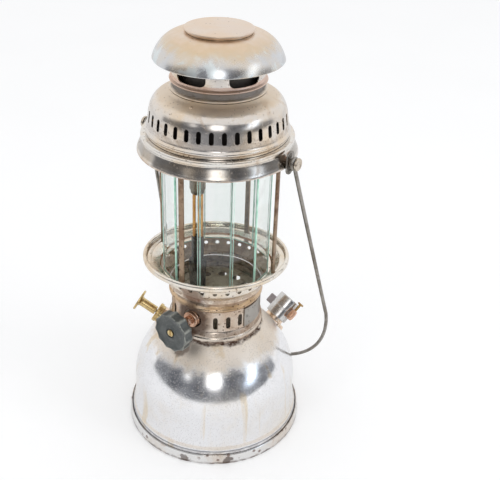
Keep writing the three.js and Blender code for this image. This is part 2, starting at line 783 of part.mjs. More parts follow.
function makeHood() {
  const drumLine = scaledLine(hoodShares, hoodRadius, hoodFoot, hoodHeight);
  const outline = slotOutline(hoodSlotWidth, hoodSlotHeight);
  const slotAzimuths = around(hoodSlotCount, Math.PI / hoodSlotCount);
  const plugs = wallPlugs(slotAzimuths, outline, hoodRadius, hoodSlotCentre);
  const drum = revolved(sheetLoop(drumLine, hoodSheet, hoodSteps), hoodSlotCount);
  piece('hood_drum', cut(drum, plugs), tarnish);

  const lidLine = lidOuterLine();
  piece('hood_lid', revolved(sheetLoop(lidLine, lidSheet, lidSteps), hoodSides), tarnish);

  const neckTopRadius = hoodNeckRadius * neckShares.at(-1)[0];
  const lidInner = insetLine(lidLine.filter((_, i) => !lidSteps.includes(i)), lidSheet);
  const neckHeight = heightAt(lidInner, neckTopRadius) - seatGap - neckFoot;
  const neckLine = scaledLine(neckShares, hoodNeckRadius, neckFoot, neckHeight);
  const windowOutline = roundedOutline(neckWindowWidth, neckWindowHeight, neckWindowCorner);
  const windowCentre = neckWindowFoot + neckWindowHeight / 2;
  const windowAzimuths = around(neckWindowCount, neckWindowPhase);
  const windows = wallPlugs(windowAzimuths, windowOutline, neckTopRadius, windowCentre);
  const neck = revolved(sheetLoop(neckLine, neckSheet, neckSteps), hoodSides);
  piece('hood_neck', cut(neck, windows), tarnish);

  const capFoot = lidFootHeight + lidHeight + seatGap;
  piece('hood_cap', turned(capShares, capRadius, capFoot, capThickness, hoodSides), tarnish);

  const casingFoot = frameFlangeHeight + frameFlangeSheet + seatGap;
  const shoulderTop = casingKneeHeight + casingRadius - casingChimneyRadius;
  const neckApothem = radiusAt(neckLine, casingBandHeight) * Math.cos(Math.PI / hoodSides);
  const bandRadius = neckApothem - neckSheet - seatGap;
  const bandTop = casingBandHeight + casingSheet;
  const wall = [
    [casingRadius, casingFoot], [casingRadius, casingKneeHeight], [casingChimneyRadius, shoulderTop],
    [casingChimneyRadius, casingTopHeight],
  ];
  const casing = revolved([
    [casingFootRadius, casingFoot], [casingFootRadius, casingFoot + casingSheet],
    [casingRadius, casingFoot + casingSheet], [casingRadius, casingKneeHeight],
    [casingChimneyRadius, shoulderTop], [casingChimneyRadius, casingBandHeight],
    [bandRadius, casingBandHeight], [bandRadius, bandTop],
    [casingChimneyRadius, bandTop], [casingChimneyRadius, casingTopHeight],
    ...insetLine(wall, casingSheet).reverse(), [casingFootRadius, casingFoot],
  ], casingSides);
  const bridgeLength = 2 * casingRadius - casingSheet;
  const bridgeHeight = casingFoot + casingSheet;
  const bridge = block(bridgeLength, bridgeWidth, casingSheet, 0, 0, bridgeHeight).rotateZ(bridgeAngle);
  const bridgeHoles = [0, mixingSpan].map((reach) =>
    disc(mixingTubeRadius + seatGap, bridgeHeight - cutOverrun, bridgeHeight + cutOverrun, turnedSides)
      .translate(reach, 0, 0)
      .rotateZ(bridgeAngle));
  piece('inner_casing', cut(join([casing, bridge]), bridgeHoles), soot);
}

// Mixing tube: up from above the jet, over a round bend, and down to the clay nozzle.
const nozzleShares = [
  [0.72, 0], [0.8, 0.1], [0.8, 0.42], [0.7, 0.5], [0.7, 0.6], [1, 0.68], [1, 0.86], [0.8, 1],
];

function makeBurner() {
  const bend = mixingSpan / 2;
  const inletFoot = headFootHeight + headHeight + seatGap + jetHeight + jetAirGap;
  const stations = [new THREE.Vector2(mixingSpan, inletFoot)];
  for (let i = 0; i <= mixingTubeTurns; i++) {
    const angle = (i / mixingTubeTurns) * Math.PI;
    const height = mixingTubeTopHeight + bend * Math.sin(angle);
    stations.push(new THREE.Vector2(bend + bend * Math.cos(angle), height));
  }
  stations.push(new THREE.Vector2(0, nozzleTopHeight + seatGap));
  const tube = swept(stations, mixingTubeRadius, holeSides, mixingTubeRadius - mixingTubeWall);
  piece('mixing_tube', tube.rotateZ(bridgeAngle), steel);

  const foot = nozzleTopHeight - nozzleHeight;
  const nozzle = turned(nozzleShares, nozzleRadius, foot, nozzleHeight, turnedSides, nozzleBore);
  piece('burner_nozzle', nozzle, clay);
}

const atBlock = (geometry) => geometry.translate(vaporizerX, vaporizerY, 0);
const atNeedle = (geometry) => geometry.translate(needleX, vaporizerY, 0);

const headShares = [
  [0.7, 0], [0.86, 0.06], [0.86, 0.14], [0.78, 0.16], [0.78, 0.2], [1, 0.24], [1, 0.9], [0.86, 1],
];
const jetShares = [[1, 0], [1, 0.55], [0.5, 1]];

// Block with the spindle chamber, its sleeve, and the pickup tube that reaches down into the tank.
function makeVaporizer() {
  const foot = tankTopHeight + seatGap;
  const body = join([
    atBlock(disc(vaporizerBlockRadius, foot, vaporizerBlockTop, turnedSides)),
    atBlock(disc(sleeveRadius, foot, sleeveTopHeight, turnedSides)),
    atNeedle(disc(pickupRadius, pickupFootHeight, foot + seatGap, rodSides)),
  ]);
  const boreFoot = spindleHeight - blockBoreHeight / 2;
  const bores = [
    disc(blockBoreRadius, boreFoot, boreFoot + blockBoreHeight, turnedSides),
    disc(needleRodRadius + runningGap, spindleHeight, sleeveTopHeight + cutOverrun, rodSides),
    disc(pickupRadius - pickupWall, pickupFootHeight - cutOverrun, spindleHeight, rodSides),
  ].map(atNeedle);
  const reach = 2 * vaporizerBlockRadius;
  const spindleBore = disc(spindleRadius + runningGap, 0, reach, rodSides).applyMatrix4(spindleFrame);
  const flat = block(reach, reach, reach, 0, 0, bossSeat + reach / 2).applyMatrix4(spindleFrame);
  piece('vaporizer_body', cut(body, [...bores, spindleBore, flat]), soot);

  const cupLine = [[cupFootRadius, vaporizerBlockTop + seatGap], [cupTopRadius, cupTopHeight]];
  piece('preheat_cup', atBlock(revolved(sheetLoop(cupLine, cupSheet), turnedSides)), soot);

  const tubeFoot = sleeveTopHeight + seatGap;
  const tubeTop = headFootHeight - seatGap;
  const mainTube = ring(mainTubeRadius - mainTubeWall, mainTubeRadius, tubeFoot, tubeTop, rodSides);
  piece('vaporizer_tube', atNeedle(mainTube), brass);

  const headTop = headFootHeight + headHeight;
  const sideTop = headFootHeight + seatGap;
  const sideTube = disc(sideTubeRadius, tubeFoot, sideTop, rodSides);
  const head = join([
    atBlock(turned(headShares, headRadius, headFootHeight, headHeight, turnedSides)),
    atBlock(sideTube.translate(sideTubeOffset, 0, 0)),
  ]);
  const sideBore = disc(sideTubeRadius - sideTubeWall, tubeFoot - cutOverrun, sideTop, rodSides);
  const rodRoom = needleRodRadius + runningGap;
  const headBore = disc(rodRoom, headFootHeight - cutOverrun, headTop + cutOverrun, rodSides);
  const bored = cut(head, [atNeedle(headBore), atBlock(sideBore.translate(sideTubeOffset, 0, 0))]);
  piece('vaporizer_head', bored, soot);

  const jetFoot = headTop + seatGap;
  piece('jet', atNeedle(turned(jetShares, jetRadius, jetFoot, jetHeight, rodSides, jetBoreRadius)), brass);
}

const footValveShares = [[0.6, 0], [1, 0.5], [0.42, 1]];

// The rod carries the cleaning needle, the slotted yoke that the eccentric pin lifts, and the foot valve.
function makeNeedleRod() {
  const reach = eccentricOffset + eccentricPinRadius + yokeSlotClearance;
  const slot = block(2 * reach, yokeDepth + cutOverrun, 2 * (eccentricPinRadius + yokeSlotClearance));
  const valveFoot = pickupFootHeight + footValveHeight - spindleHeight;
  const rodTop = headFootHeight + headHeight / 2 - spindleHeight;
  const rod = join([
    block(yokeWidth, yokeDepth, yokeHeight),
    disc(needleRodRadius, valveFoot + footValveHeight / 2, rodTop, rodSides),
    disc(needleRadius, rodTop - needleRodRadius, rodTop + headHeight / 2 + jetHeight, holeSides),
    turned(footValveShares, footValveRadius, valveFoot, footValveHeight, rodSides),
  ]);
  const placed = cut(rod, [slot]).rotateZ(spindleAzimuth).translate(needleX, vaporizerY, spindleHeight);
  piece('needle_rod', placed, steel);
}

const bossShares = [[1, 0], [1, 0.93], [0.94, 1]];
const wheelScrewShares = [[1, 0], [1, 0.6], [0.82, 1]];

function makeSpindle() {
  const group = assembly(spindleFrame);
  const bore = spindleRadius + runningGap;
  const bossFoot = bossSeat + seatGap;
  const boss = turned(bossShares, bossRadius, bossFoot, bossLength, turnedSides, bore);
  piece('stuffing_box', boss, copper, group);
  const glandFoot = bossFoot + bossLength + seatGap;
  const glandTop = glandFoot + glandLength;
  const glandBore = disc(bore, glandFoot - cutOverrun, glandTop + cutOverrun, rodSides);
  piece('gland_nut', cut(disc(glandRadius, glandFoot, glandTop, nutSides), [glandBore]), copper, group);

  const pinFoot = spindleInnerEnd - eccentricPinLength;
  const eccentricReach = eccentricOffset + eccentricPinRadius;
  const shankFoot = wheelOuterFace - wheelRecessDepth + seatGap - wheelShankLength;
  const spindle = join([
    disc(spindleRadius, spindleInnerEnd, spindleOuterEnd, rodSides),
    disc(eccentricReach, spindleInnerEnd - seatGap, spindleInnerEnd + seatGap, rodSides),
    disc(eccentricPinRadius, pinFoot, spindleInnerEnd, rodSides).translate(eccentricOffset, 0, 0),
  ]);
  const shankHole = disc(wheelShankRadius + seatGap, shankFoot - seatGap, wheelOuterFace, holeSides);
  piece('spindle', cut(spindle, [shankHole]), brass, group);

  const steps = wheelLobes * wheelLobeSteps;
  const outline = new THREE.Shape(Array.from({ length: steps }, (_, i) => {
    const angle = (i / steps) * 2 * Math.PI;
    const swell = Math.abs(Math.cos((wheelLobes * angle) / 2)) ** wheelLobePower;
    const radius = wheelRadius - wheelLobeDepth * (1 - swell);
    return new THREE.Vector2(radius * Math.cos(angle), radius * Math.sin(angle));
  }));
  const back = wheelOuterFace - wheelThickness;
  const recessFoot = wheelOuterFace - wheelRecessDepth;
  const overFace = wheelOuterFace + cutOverrun;
  const wheel = extruded(outline, wheelThickness).translate(0, 0, back);
  const rimInner = wheelRadius - wheelRimWidth;
  piece('handwheel', cut(wheel, [
    ring(wheelHubRadius, rimInner, back - cutOverrun, wheelOuterFace - wheelWeb, turnedSides),
    disc(wheelRecessRadius, recessFoot, overFace, turnedSides),
    disc(spindleRadius + seatGap, back - cutOverrun, overFace, rodSides),
  ]), bakelite, group);

  const screwFoot = recessFoot + seatGap;
  const screw = join([
    turned(wheelScrewShares, wheelScrewRadius, screwFoot, wheelScrewHeight, rodSides),
    disc(wheelShankRadius, shankFoot, screwFoot + seatGap, holeSides),
  ]);
  const slotCentre = screwFoot + wheelScrewHeight;
  const screwSlot = block(2 * wheelScrewRadius, wheelScrewSlot, wheelScrewHeight, 0, 0, slotCentre);
  piece('wheel_screw', cut(screw, [screwSlot]), brass, group);
}

const valveShares = [[0.75, 0], [1, 0.3], [1, 1]];
const knobShares = [
  [0.41, 0], [0.36, 0.35], [0.38, 0.6], [0.52, 0.78], [0.92, 0.87], [1, 0.915], [1, 0.965], [0.96, 1],
];
const valveBoreShare = 0.3;
const cupLeatherShare = 0.45;

function makePump() {
  const group = assembly(pumpFrame);
  const capFoot = -pumpCapSkirt - pumpCapTop;
  const capInner = barrelRadius + seatGap;
  const rodHole = pumpRodRadius + runningGap;
  piece('pump_cap', revolved([
    [rodHole, -pumpCapTop], [capInner, -pumpCapTop], [capInner, capFoot], [pumpCapRadius, capFoot],
    [pumpCapRadius, -seatGap], [pumpCapRadius - seatGap, 0], [rodHole, 0], [rodHole, -pumpCapTop],
  ], turnedSides), brass, group);

  const barrelTop = -pumpCapTop - seatGap;
  const barrelFoot = barrelTop - barrelLength;
  const barrelInner = barrelRadius - barrelWall;
  const valveBore = valveRadius * valveBoreShare;
  piece('pump_barrel', revolved([
    [valveBore, barrelFoot], [barrelRadius, barrelFoot], [barrelRadius, barrelTop], [barrelInner, barrelTop],
    [barrelInner, barrelFoot + barrelWall], [valveBore, barrelFoot + barrelWall], [valveBore, barrelFoot],
  ], turnedSides), brass, group);
  const valveFoot = barrelFoot - seatGap - valveLength;
  const valve = turned(valveShares, valveRadius, valveFoot, valveLength, rodSides, valveBore);
  piece('pump_valve', valve, brass, group);

  const pistonFoot = -pistonDepth;
  const webFoot = pistonFoot + pistonHeight * cupLeatherShare;
  const pistonTop = pistonFoot + pistonHeight;
  const pistonBore = pumpRodRadius + seatGap;
  const leatherOuter = barrelInner - seatGap;
  const leatherInner = leatherOuter - barrelWall;
  piece('pump_piston', revolved([
    [pistonBore, webFoot], [leatherInner, webFoot], [leatherInner, pistonFoot], [leatherOuter, pistonFoot],
    [leatherOuter, pistonTop], [pistonBore, pistonTop], [pistonBore, webFoot],
  ], turnedSides), leather, group);

  const socketTop = pumpKnobRest + pumpKnobSocket;
  piece('pump_rod', disc(pumpRodRadius, pistonFoot, socketTop - seatGap, rodSides), steel, group);
  const knobHeight = pumpKnobReach - pumpKnobRest;
  const knob = turned(knobShares, pumpKnobRadius, pumpKnobRest, knobHeight, turnedSides);
  const socket = disc(pumpRodRadius + seatGap, pumpKnobRest - cutOverrun, socketTop, rodSides);
  piece('pump_knob', cut(knob, [socket]), brass, group);
}

const elbowShares = [[0.6, 0], [0.9, 0.1], [1, 0.25], [1, 0.7], [0.72, 1]];

function makeFiller() {
  const group = assembly(fillerFrame);
  const toFiller = fillerFrame.clone().invert();
  const envelope = revolved([[0, -panHeight], ...tankLine(-seatGap, -panHeight)]).applyMatrix4(toFiller);
  const flangeFoot = neckFlangeTop - neckFlangeDepth;
  const pitch = fillerNeckTop / (neckThreadCount + 1);
  const rootRadius = neckOuterRadius - seatGap;
  const neckLine = [
    [neckBoreRadius, flangeFoot], [neckFlangeRadius, flangeFoot], [neckFlangeRadius, neckFlangeTop - seatGap],
    [neckFlangeRadius - seatGap, neckFlangeTop], [rootRadius, neckFlangeTop],
  ];
  for (let i = 0; i < neckThreadCount; i++) {
    const height = pitch * i;
    neckLine.push([rootRadius, height], [neckOuterRadius, height + pitch / 2]);
  }
  neckLine.push([rootRadius, pitch * neckThreadCount], [rootRadius, fillerNeckTop]);
  neckLine.push([neckBoreRadius, fillerNeckTop]);
  neckLine.push(neckLine[0]);
  piece('filler_neck', cut(revolved(neckLine, turnedSides), [envelope]), brass, group);

  const capInner = fillerCapRadius - fillerCapWall;
  const gasketFoot = fillerNeckTop + seatGap;
  const gasketTop = gasketFoot + gasketThickness;
  const gasketInner = neckBoreRadius - gasketThickness;
  const gasketOuter = capInner * Math.cos(Math.PI / turnedSides) - seatGap;
  piece('filler_gasket', ring(gasketInner, gasketOuter, gasketFoot, gasketTop, turnedSides), rubber, group);

  const capFloor = gasketTop + seatGap;
  const dialFloor = fillerCapHeight - gaugeRecess;
  const rimInner = fillerCapRadius - gaugeRim;
  const seamFloor = fillerCapRadius - seatGap;
  const cap = revolved([
    [0, capFloor], [capInner, capFloor], [capInner, 0], [fillerCapRadius, 0],
    [fillerCapRadius, fillerCapSeam - seatGap], [seamFloor, fillerCapSeam],
    [fillerCapRadius, fillerCapSeam + seatGap], [fillerCapRadius, fillerCapHeight - seatGap],
    [seamFloor, fillerCapHeight], [rimInner, fillerCapHeight],
    [rimInner, dialFloor], [0, dialFloor],
  ], turnedSides);
  const wingWidth = wingReach + gaugeRim;
  const wing = block(wingWidth, wingDepth, wingLength, rimInner + wingWidth / 2, 0, wingCentre);
  const armReach = elbowOffset - elbowRadius / 2;
  const armHeight = (elbowFoot + elbowTop) / 2;
  const armCentre = -(armReach + rimInner) / 2;
  const arm = block(armReach - rimInner, elbowRadius, elbowRadius * 2, armCentre, 0, armHeight);
  piece('filler_cap', join([cap, wing, arm]), nickel, group);

  const armRoom = block(armReach + seatGap, elbowRadius + 2 * seatGap, 2 * (elbowRadius + seatGap),
    -(armReach + seatGap) / 2, 0, armHeight);
  const capRoom = disc(fillerCapRadius + 2 * seatGap, 0, fillerCapHeight, turnedSides);
  const stemFoot = elbowFoot + elbowRadius;
  const stemRoom = disc(releaseStemRadius + runningGap, stemFoot, elbowTop + cutOverrun, rodSides);
  const elbow = turned(elbowShares, elbowRadius, elbowFoot, elbowTop - elbowFoot, rodSides);
  piece('release_elbow', cut(elbow.translate(-elbowOffset, 0, 0), [
    armRoom, capRoom, stemRoom.translate(-elbowOffset, 0, 0),
  ]), copper, group);
  const screw = join([
    disc(releaseStemRadius, stemFoot + seatGap, releaseBarHeight, rodSides),
    disc(releaseBarRadius, -releaseBarLength / 2, releaseBarLength / 2, rodSides)
      .rotateX(quarterTurn)
      .translate(0, 0, releaseBarHeight),
  ]);
  piece('release_screw', screw.translate(-elbowOffset, 0, 0), brass, group);

  const dialRadius = rimInner - seatGap;
  const dialFoot = dialFloor + seatGap;
  const lensFoot = fillerCapHeight - lensThickness;
  piece('gauge_dial', disc(dialRadius, dialFoot, dialFoot + dialThickness, turnedSides), enamel, group);
  piece('gauge_lens', disc(dialRadius, lensFoot, fillerCapHeight, turnedSides), glass, group);
  const pointerFoot = (dialFoot + dialThickness + lensFoot - pointerThickness) / 2;
  const pointerMiddle = pointerFoot + pointerThickness / 2;
  piece('gauge_pointer', join([
    block(pointerWidth, pointerLength, pointerThickness, 0, pointerLength / 4, pointerMiddle),
    disc(pointerWidth, pointerFoot, pointerFoot + pointerThickness, rodSides),
  ]), soot, group);
}

// Two ears riveted to the top ring, and the bail wire that swings on their pins.
function makeBail() {
  const plateFoot = frameRadius + seatGap;
  const plateTop = plateFoot + earPlateThickness;
  const eyeFoot = bailEyeReach - bailWireRadius;
  const headFoot = bailEyeReach + bailWireRadius + runningGap;
  const headTop = headFoot + earPinHeadThickness;
  const headEdge = seatGap * 2;
  const facetInset = Math.cos(Math.PI / hoodSides);
  const nutTop = radiusAt(skirtLine, earHeight + earPinNutRadius) * facetInset - frameSheet - seatGap;
  const nutFoot = nutTop - earPinNutThickness;
  ['right', 'left'].forEach((side, i) => {
    const group = assembly(aim(earAzimuth + i * Math.PI, quarterTurn, 0, earHeight));
    const blank = extruded(slotOutline(earPlateWidth, earPlateHeight), earPlateThickness);
    const hole = disc(earPinRadius + seatGap, 0, plateTop + cutOverrun, rodSides);
    piece(`ear_plate_${side}`, cut(blank.translate(0, 0, plateFoot), [hole]), steel, group);
    piece(`ear_pin_${side}`, revolved([
      [0, nutFoot], [earPinNutRadius, nutFoot], [earPinNutRadius, nutTop], [earPinRadius, nutTop],
      [earPinRadius, plateTop + seatGap], [earPinShoulderRadius, plateTop + seatGap],
      [earPinShoulderRadius, eyeFoot - runningGap], [earPinRadius, eyeFoot - runningGap],
      [earPinRadius, headFoot], [earPinHeadRadius, headFoot],
      [earPinHeadRadius, headTop - headEdge], [earPinHeadRadius - headEdge, headTop],
      [0, headTop],
    ], rodSides), tarnish, group);
  });

  const eyeRadius = bailEyeBore + bailWireRadius;
  const side = [];
  for (let i = 0; i < bailLegSteps; i++) {
    const share = i / bailLegSteps;
    const lateral = bailEyeReach + share * (bailHalfWidth - bailEyeReach);
    side.push(new THREE.Vector2(lateral, -eyeRadius - share * (bailLegLength - eyeRadius)));
  }
  const bowSteps = bailBowSteps / 2;
  for (let i = 0; i < bowSteps; i++) {
    const angle = (i / bowSteps) * quarterTurn;
    const drop = bailLegLength + bailBowDepth * Math.sin(angle);
    side.push(new THREE.Vector2(bailHalfWidth * Math.cos(angle), -drop));
  }
  const bottom = new THREE.Vector2(0, -bailLegLength - bailBowDepth);
  const otherSide = side.map((p) => new THREE.Vector2(-p.x, p.y)).reverse();
  const wire = swept([...side, bottom, ...otherSide], bailWireRadius, wireSides);
  const section = Array.from({ length: wireSides + 1 }, (_, i) => {
    const angle = (i / wireSides) * 2 * Math.PI;
    return [eyeRadius + bailWireRadius * Math.cos(angle), bailWireRadius * Math.sin(angle)];
  });
  const eyes = [bailEyeReach, -bailEyeReach].map((reach) =>
    revolved(section, bailEyeSides).rotateY(quarterTurn).translate(reach, 0, 0));
  const swing = new THREE.Matrix4()
    .makeTranslation(0, 0, earHeight)
    .multiply(new THREE.Matrix4().makeRotationZ(earAzimuth - quarterTurn))
    .multiply(new THREE.Matrix4().makeRotationX(bailTilt));
  piece('bail', join([wire, ...eyes]), steel, assembly(swing));
}

makeTank();
makeCollar();
makeGallery();
makeFrame();
makeGlass();
makeHood();
makeBurner();
makeVaporizer();
makeNeedleRod();
makeSpindle();
makePump();
makeFiller();
makeBail();

export default lantern;
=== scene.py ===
import bpy
import bmesh
import math
import numpy as np
from mathutils import Matrix, Vector


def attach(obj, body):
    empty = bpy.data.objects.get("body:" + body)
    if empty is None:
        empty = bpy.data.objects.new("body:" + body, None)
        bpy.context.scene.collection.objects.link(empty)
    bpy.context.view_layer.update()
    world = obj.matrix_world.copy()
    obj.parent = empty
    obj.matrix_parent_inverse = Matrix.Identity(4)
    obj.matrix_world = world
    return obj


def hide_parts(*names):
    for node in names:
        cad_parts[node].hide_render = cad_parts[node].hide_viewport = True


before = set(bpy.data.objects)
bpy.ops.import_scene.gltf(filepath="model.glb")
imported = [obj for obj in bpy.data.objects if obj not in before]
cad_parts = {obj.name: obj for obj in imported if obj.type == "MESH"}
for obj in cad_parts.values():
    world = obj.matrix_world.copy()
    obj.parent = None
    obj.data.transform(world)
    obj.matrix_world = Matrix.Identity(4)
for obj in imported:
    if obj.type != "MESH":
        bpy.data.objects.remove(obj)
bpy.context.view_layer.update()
print("frame loaded with", len(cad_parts), "nodes")

# Sizes below are millimetres, azimuth 0 is -Y and grows towards +X, as in the CAD source.
millimetre = 0.001
fullTurn = 2 * math.pi
needleX, needleY = -14.2, -27.0  # the upright axis that jet, riser tube and mixing tube share


# Working out surfaces

# A line of r, z corners; a third number eases the corner with a parabola that starts that far away.
def easedLine(corners, steps=6, closed=False):
    spots = np.array([corner[:2] for corner in corners], float)
    eases = [corner[2] if len(corner) > 2 else 0 for corner in corners]
    before, after = np.roll(spots, 1, 0), np.roll(spots, -1, 0)
    share = np.linspace(0, 1, steps)[:, None]
    parts = []
    for i, (spot, ease) in enumerate(zip(spots, eases)):
        if ease == 0 or (not closed and i in (0, len(spots) - 1)):
            parts.append(spot[None])
            continue
        back, ahead = before[i] - spot, after[i] - spot
        start = spot + back / np.hypot(*back) * min(ease, 0.48 * np.hypot(*back))
        end = spot + ahead / np.hypot(*ahead) * min(ease, 0.48 * np.hypot(*ahead))
        parts.append((1 - share) ** 2 * start + 2 * share * (1 - share) * spot + share ** 2 * end)
    return np.concatenate(parts)


# Normals of a line in the r, z plane, pointing away from the axis where the line rises.
def lineNormals(line):
    steps = np.diff(line, axis=0)
    steps /= np.maximum(np.hypot(*steps.T), 1e-9)[:, None]
    along = np.concatenate([steps[:1], steps[:-1] + steps[1:], steps[-1:]])
    along /= np.maximum(np.hypot(*along.T), 1e-9)[:, None]
    return np.stack([along[:, 1], -along[:, 0]], 1)


# Both sides of a sheet as one closed line, its two edges rounded.
def sheetLoop(line, thickness):
    normals = lineNormals(line)
    inner = line - normals * thickness
    tangents = np.stack([-normals[:, 1], normals[:, 0]], 1)
    tip = (line[-1] + inner[-1]) / 2 + tangents[-1] * thickness * 0.35
    foot = (line[0] + inner[0]) / 2 - tangents[0] * thickness * 0.35
    return np.concatenate([line, tip[None], inner[::-1], foot[None]])


def gridFaces(rows, columns, joinRows=False, joinColumns=False):
    row = np.arange(rows if joinRows else rows - 1)[:, None]
    column = np.arange(columns if joinColumns else columns - 1)[None]
    rowAfter, columnAfter = (row + 1) % rows, (column + 1) % columns
    corners = [row * columns + column, row * columns + columnAfter,
               rowAfter * columns + columnAfter, rowAfter * columns + column]
    return np.stack(corners, -1).reshape(-1, 4)


# A line turned about the axis: x = r sin a, y = -r cos a. Flutes take a share off the radius; hollow ones meet
# in sharp ridges.
def turned(line, sides=96, fluteCount=0, fluteDepth=0, fluteFrom=0, flutePower=1, hollow=False):
    azimuth = np.arange(sides) / sides * fullTurn
    radius, height = np.asarray(line, float).T
    reach = np.broadcast_to(radius, (sides, len(radius))).copy()
    if fluteCount:
        swell = np.abs(np.cos(fluteCount * azimuth / 2)) ** flutePower
        reach -= fluteDepth * (swell if hollow else 1 - swell)[:, None] * (radius > fluteFrom)
    points = np.stack([np.sin(azimuth)[:, None] * reach, -np.cos(azimuth)[:, None] * reach,
                       np.broadcast_to(height, reach.shape)], -1)
    return points.reshape(-1, 3), gridFaces(sides, len(radius), True, True)


# A turned solid straight from its corners.
def spun(corners, sides, closed=False, **flutes):
    return turned(easedLine(corners, closed=closed), sides, **flutes)


# A closed line turned through part of a circle, its two ends filled.
def turnedPart(line, start, end, steps=24):
    azimuth = np.radians(np.linspace(start, end, steps + 1))
    radius, height = line.T
    points = np.stack([np.sin(azimuth)[:, None] * radius, -np.cos(azimuth)[:, None] * radius,
                       np.broadcast_to(height, (steps + 1, len(radius)))], -1)
    count = len(radius)
    faces = gridFaces(steps + 1, count, False, True).tolist()
    faces += [list(range(count)), list(range(steps * count, (steps + 1) * count))]
    return points.reshape(-1, 3), faces


# One side of a rounded hole, from the middle of one corner's arc to the middle of the next.
def holeSide(width, height, corner, share):
    arc, straight = corner * math.pi / 4, width - 2 * corner
    run = share * (2 * arc + straight)
    first = 1.25 * math.pi + np.minimum(run, arc) / corner
    second = 1.5 * math.pi + np.maximum(run - arc - straight, 0) / corner
    x = np.where(run < arc, corner - width / 2 + corner * np.cos(first),
                 np.where(run < arc + straight, corner - width / 2 + run - arc,
                          width / 2 - corner + corner * np.cos(second)))
    y = np.where(run < arc, np.sin(first), np.where(run < arc + straight, -1, np.sin(second)))
    return np.stack([x, corner - height / 2 + corner * y], 1)


# The outline of a rounded hole as a loop that matches a frame of the given segments a side.
def holeLoop(width, height, corner, across, upwards):
    sides = []
    for turn in range(4):
        span, rise = (width, height) if turn % 2 == 0 else (height, width)
        share = np.arange(across if turn % 2 == 0 else upwards) / (across if turn % 2 == 0 else upwards)
        x, y = holeSide(span, rise, corner, share).T
        sides.append(np.stack([(x, y), (-y, x), (-x, -y), (y, -x)][turn], 1))
    return np.concatenate(sides)


# A turned sheet with rows of holes. Between low and high, each sector is a patch whose rings run from the
# sector's frame to its hole; the rest is a plain grid. The inner side follows the line's normals.
def piercedSheet(line, thickness, sectors, low, high, flat=False, upwards=6, rings=4, lip=0.3):
    run = np.concatenate([[0], np.cumsum(np.hypot(*np.diff(line, axis=0).T))])
    normals = lineNormals(line)
    measured = line[:, 0 if flat else 1]
    rising = len(measured) if (np.diff(measured) >= 0).all() else int(np.argmax(np.diff(measured) < 0)) + 1
    runAt = lambda value: np.interp(value, measured[:rising], run[:rising])
    lowRun, highRun = runAt(low), runAt(high)
    azimuths = np.concatenate([np.linspace(s["start"], s["end"], s["across"] + 1)[:-1] for s in sectors])
    spots, faces, count = [], [], 0

    def addGrid(azimuth, height, joined):
        nonlocal count
        a, h = np.meshgrid(azimuth, height)
        spots.append(np.stack([a.ravel(), h.ravel()], 1))
        faces.append(gridFaces(len(height), len(azimuth), False, joined) + count)
        count += a.size

    addGrid(azimuths, np.append(run[run < lowRun - 1e-6], lowRun), True)
    addGrid(azimuths, np.append(highRun, run[run > highRun + 1e-6]), True)
    level = np.linspace(lowRun, highRun, upwards + 1)
    for sector in sectors:
        start, end, across = sector["start"], sector["end"], sector["across"]
        if "hole" not in sector:
            addGrid(np.linspace(start, end, across + 1), level, False)
            continue
        centre, middle, width, height, corner = sector["hole"]
        side = np.linspace(start, end, across + 1)[:-1]
        back = np.linspace(end, start, across + 1)[:-1]
        frameLoop = np.concatenate([
            np.stack([side, np.full(across, lowRun)], 1), np.stack([np.full(upwards, end), level[:-1]], 1),
            np.stack([back, np.full(across, highRun)], 1), np.stack([np.full(upwards, start), level[:0:-1]], 1)])
        middleRun = runAt(middle)
        reach = middle if flat else np.interp(middleRun, run, line[:, 0])

        def placed(grow):
            x, y = holeLoop(width + grow, height + grow, corner + grow / 2, across, upwards).T
            if flat:
                turn = np.degrees(np.arctan2(x, middle + y))
                return np.stack([centre + turn, runAt(np.hypot(middle + y, x))], 1)
            return np.stack([centre + np.degrees(np.arcsin(x / reach)), middleRun + y], 1)

        share = np.linspace(0, 1, rings + 1)[:, None, None]
        patch = frameLoop * (1 - share) + placed(lip) * share
        patch = np.concatenate([patch, placed(0)[None]])
        spots.append(patch.reshape(-1, 2))
        faces.append(gridFaces(rings + 2, len(frameLoop), False, True) + count)
        count += patch.shape[0] * patch.shape[1]
    azimuth, height = np.concatenate(spots).T
    azimuth = np.radians(azimuth)
    onLine = lambda values: np.interp(height, run, values)
    outward = np.stack([np.sin(azimuth), -np.cos(azimuth)], 1)
    outer = np.column_stack([outward * onLine(line[:, 0])[:, None], onLine(line[:, 1])])
    across = onLine(normals[:, 0]), onLine(normals[:, 1])
    normal = np.column_stack([outward * across[0][:, None], across[1]])
    keys = np.round(outer * 500).astype(np.int64)
    _, first, merged = np.unique(keys, axis=0, return_index=True, return_inverse=True)
    outer, normal = outer[first], normal[first]
    quads = merged.ravel()[np.concatenate(faces)]
    edges = np.stack([quads, np.roll(quads, -1, 1)], -1).reshape(-1, 2)
    _, seen, uses = np.unique(np.sort(edges, 1), axis=0, return_index=True, return_counts=True)
    rim = edges[seen[uses == 1]]
    rimFaces = np.stack([rim[:, 1], rim[:, 0], rim[:, 0] + len(outer), rim[:, 1] + len(outer)], 1)
    points = np.concatenate([outer, outer - normal * thickness])
    return points, np.concatenate([quads, quads[:, ::-1] + len(outer), rimFaces])


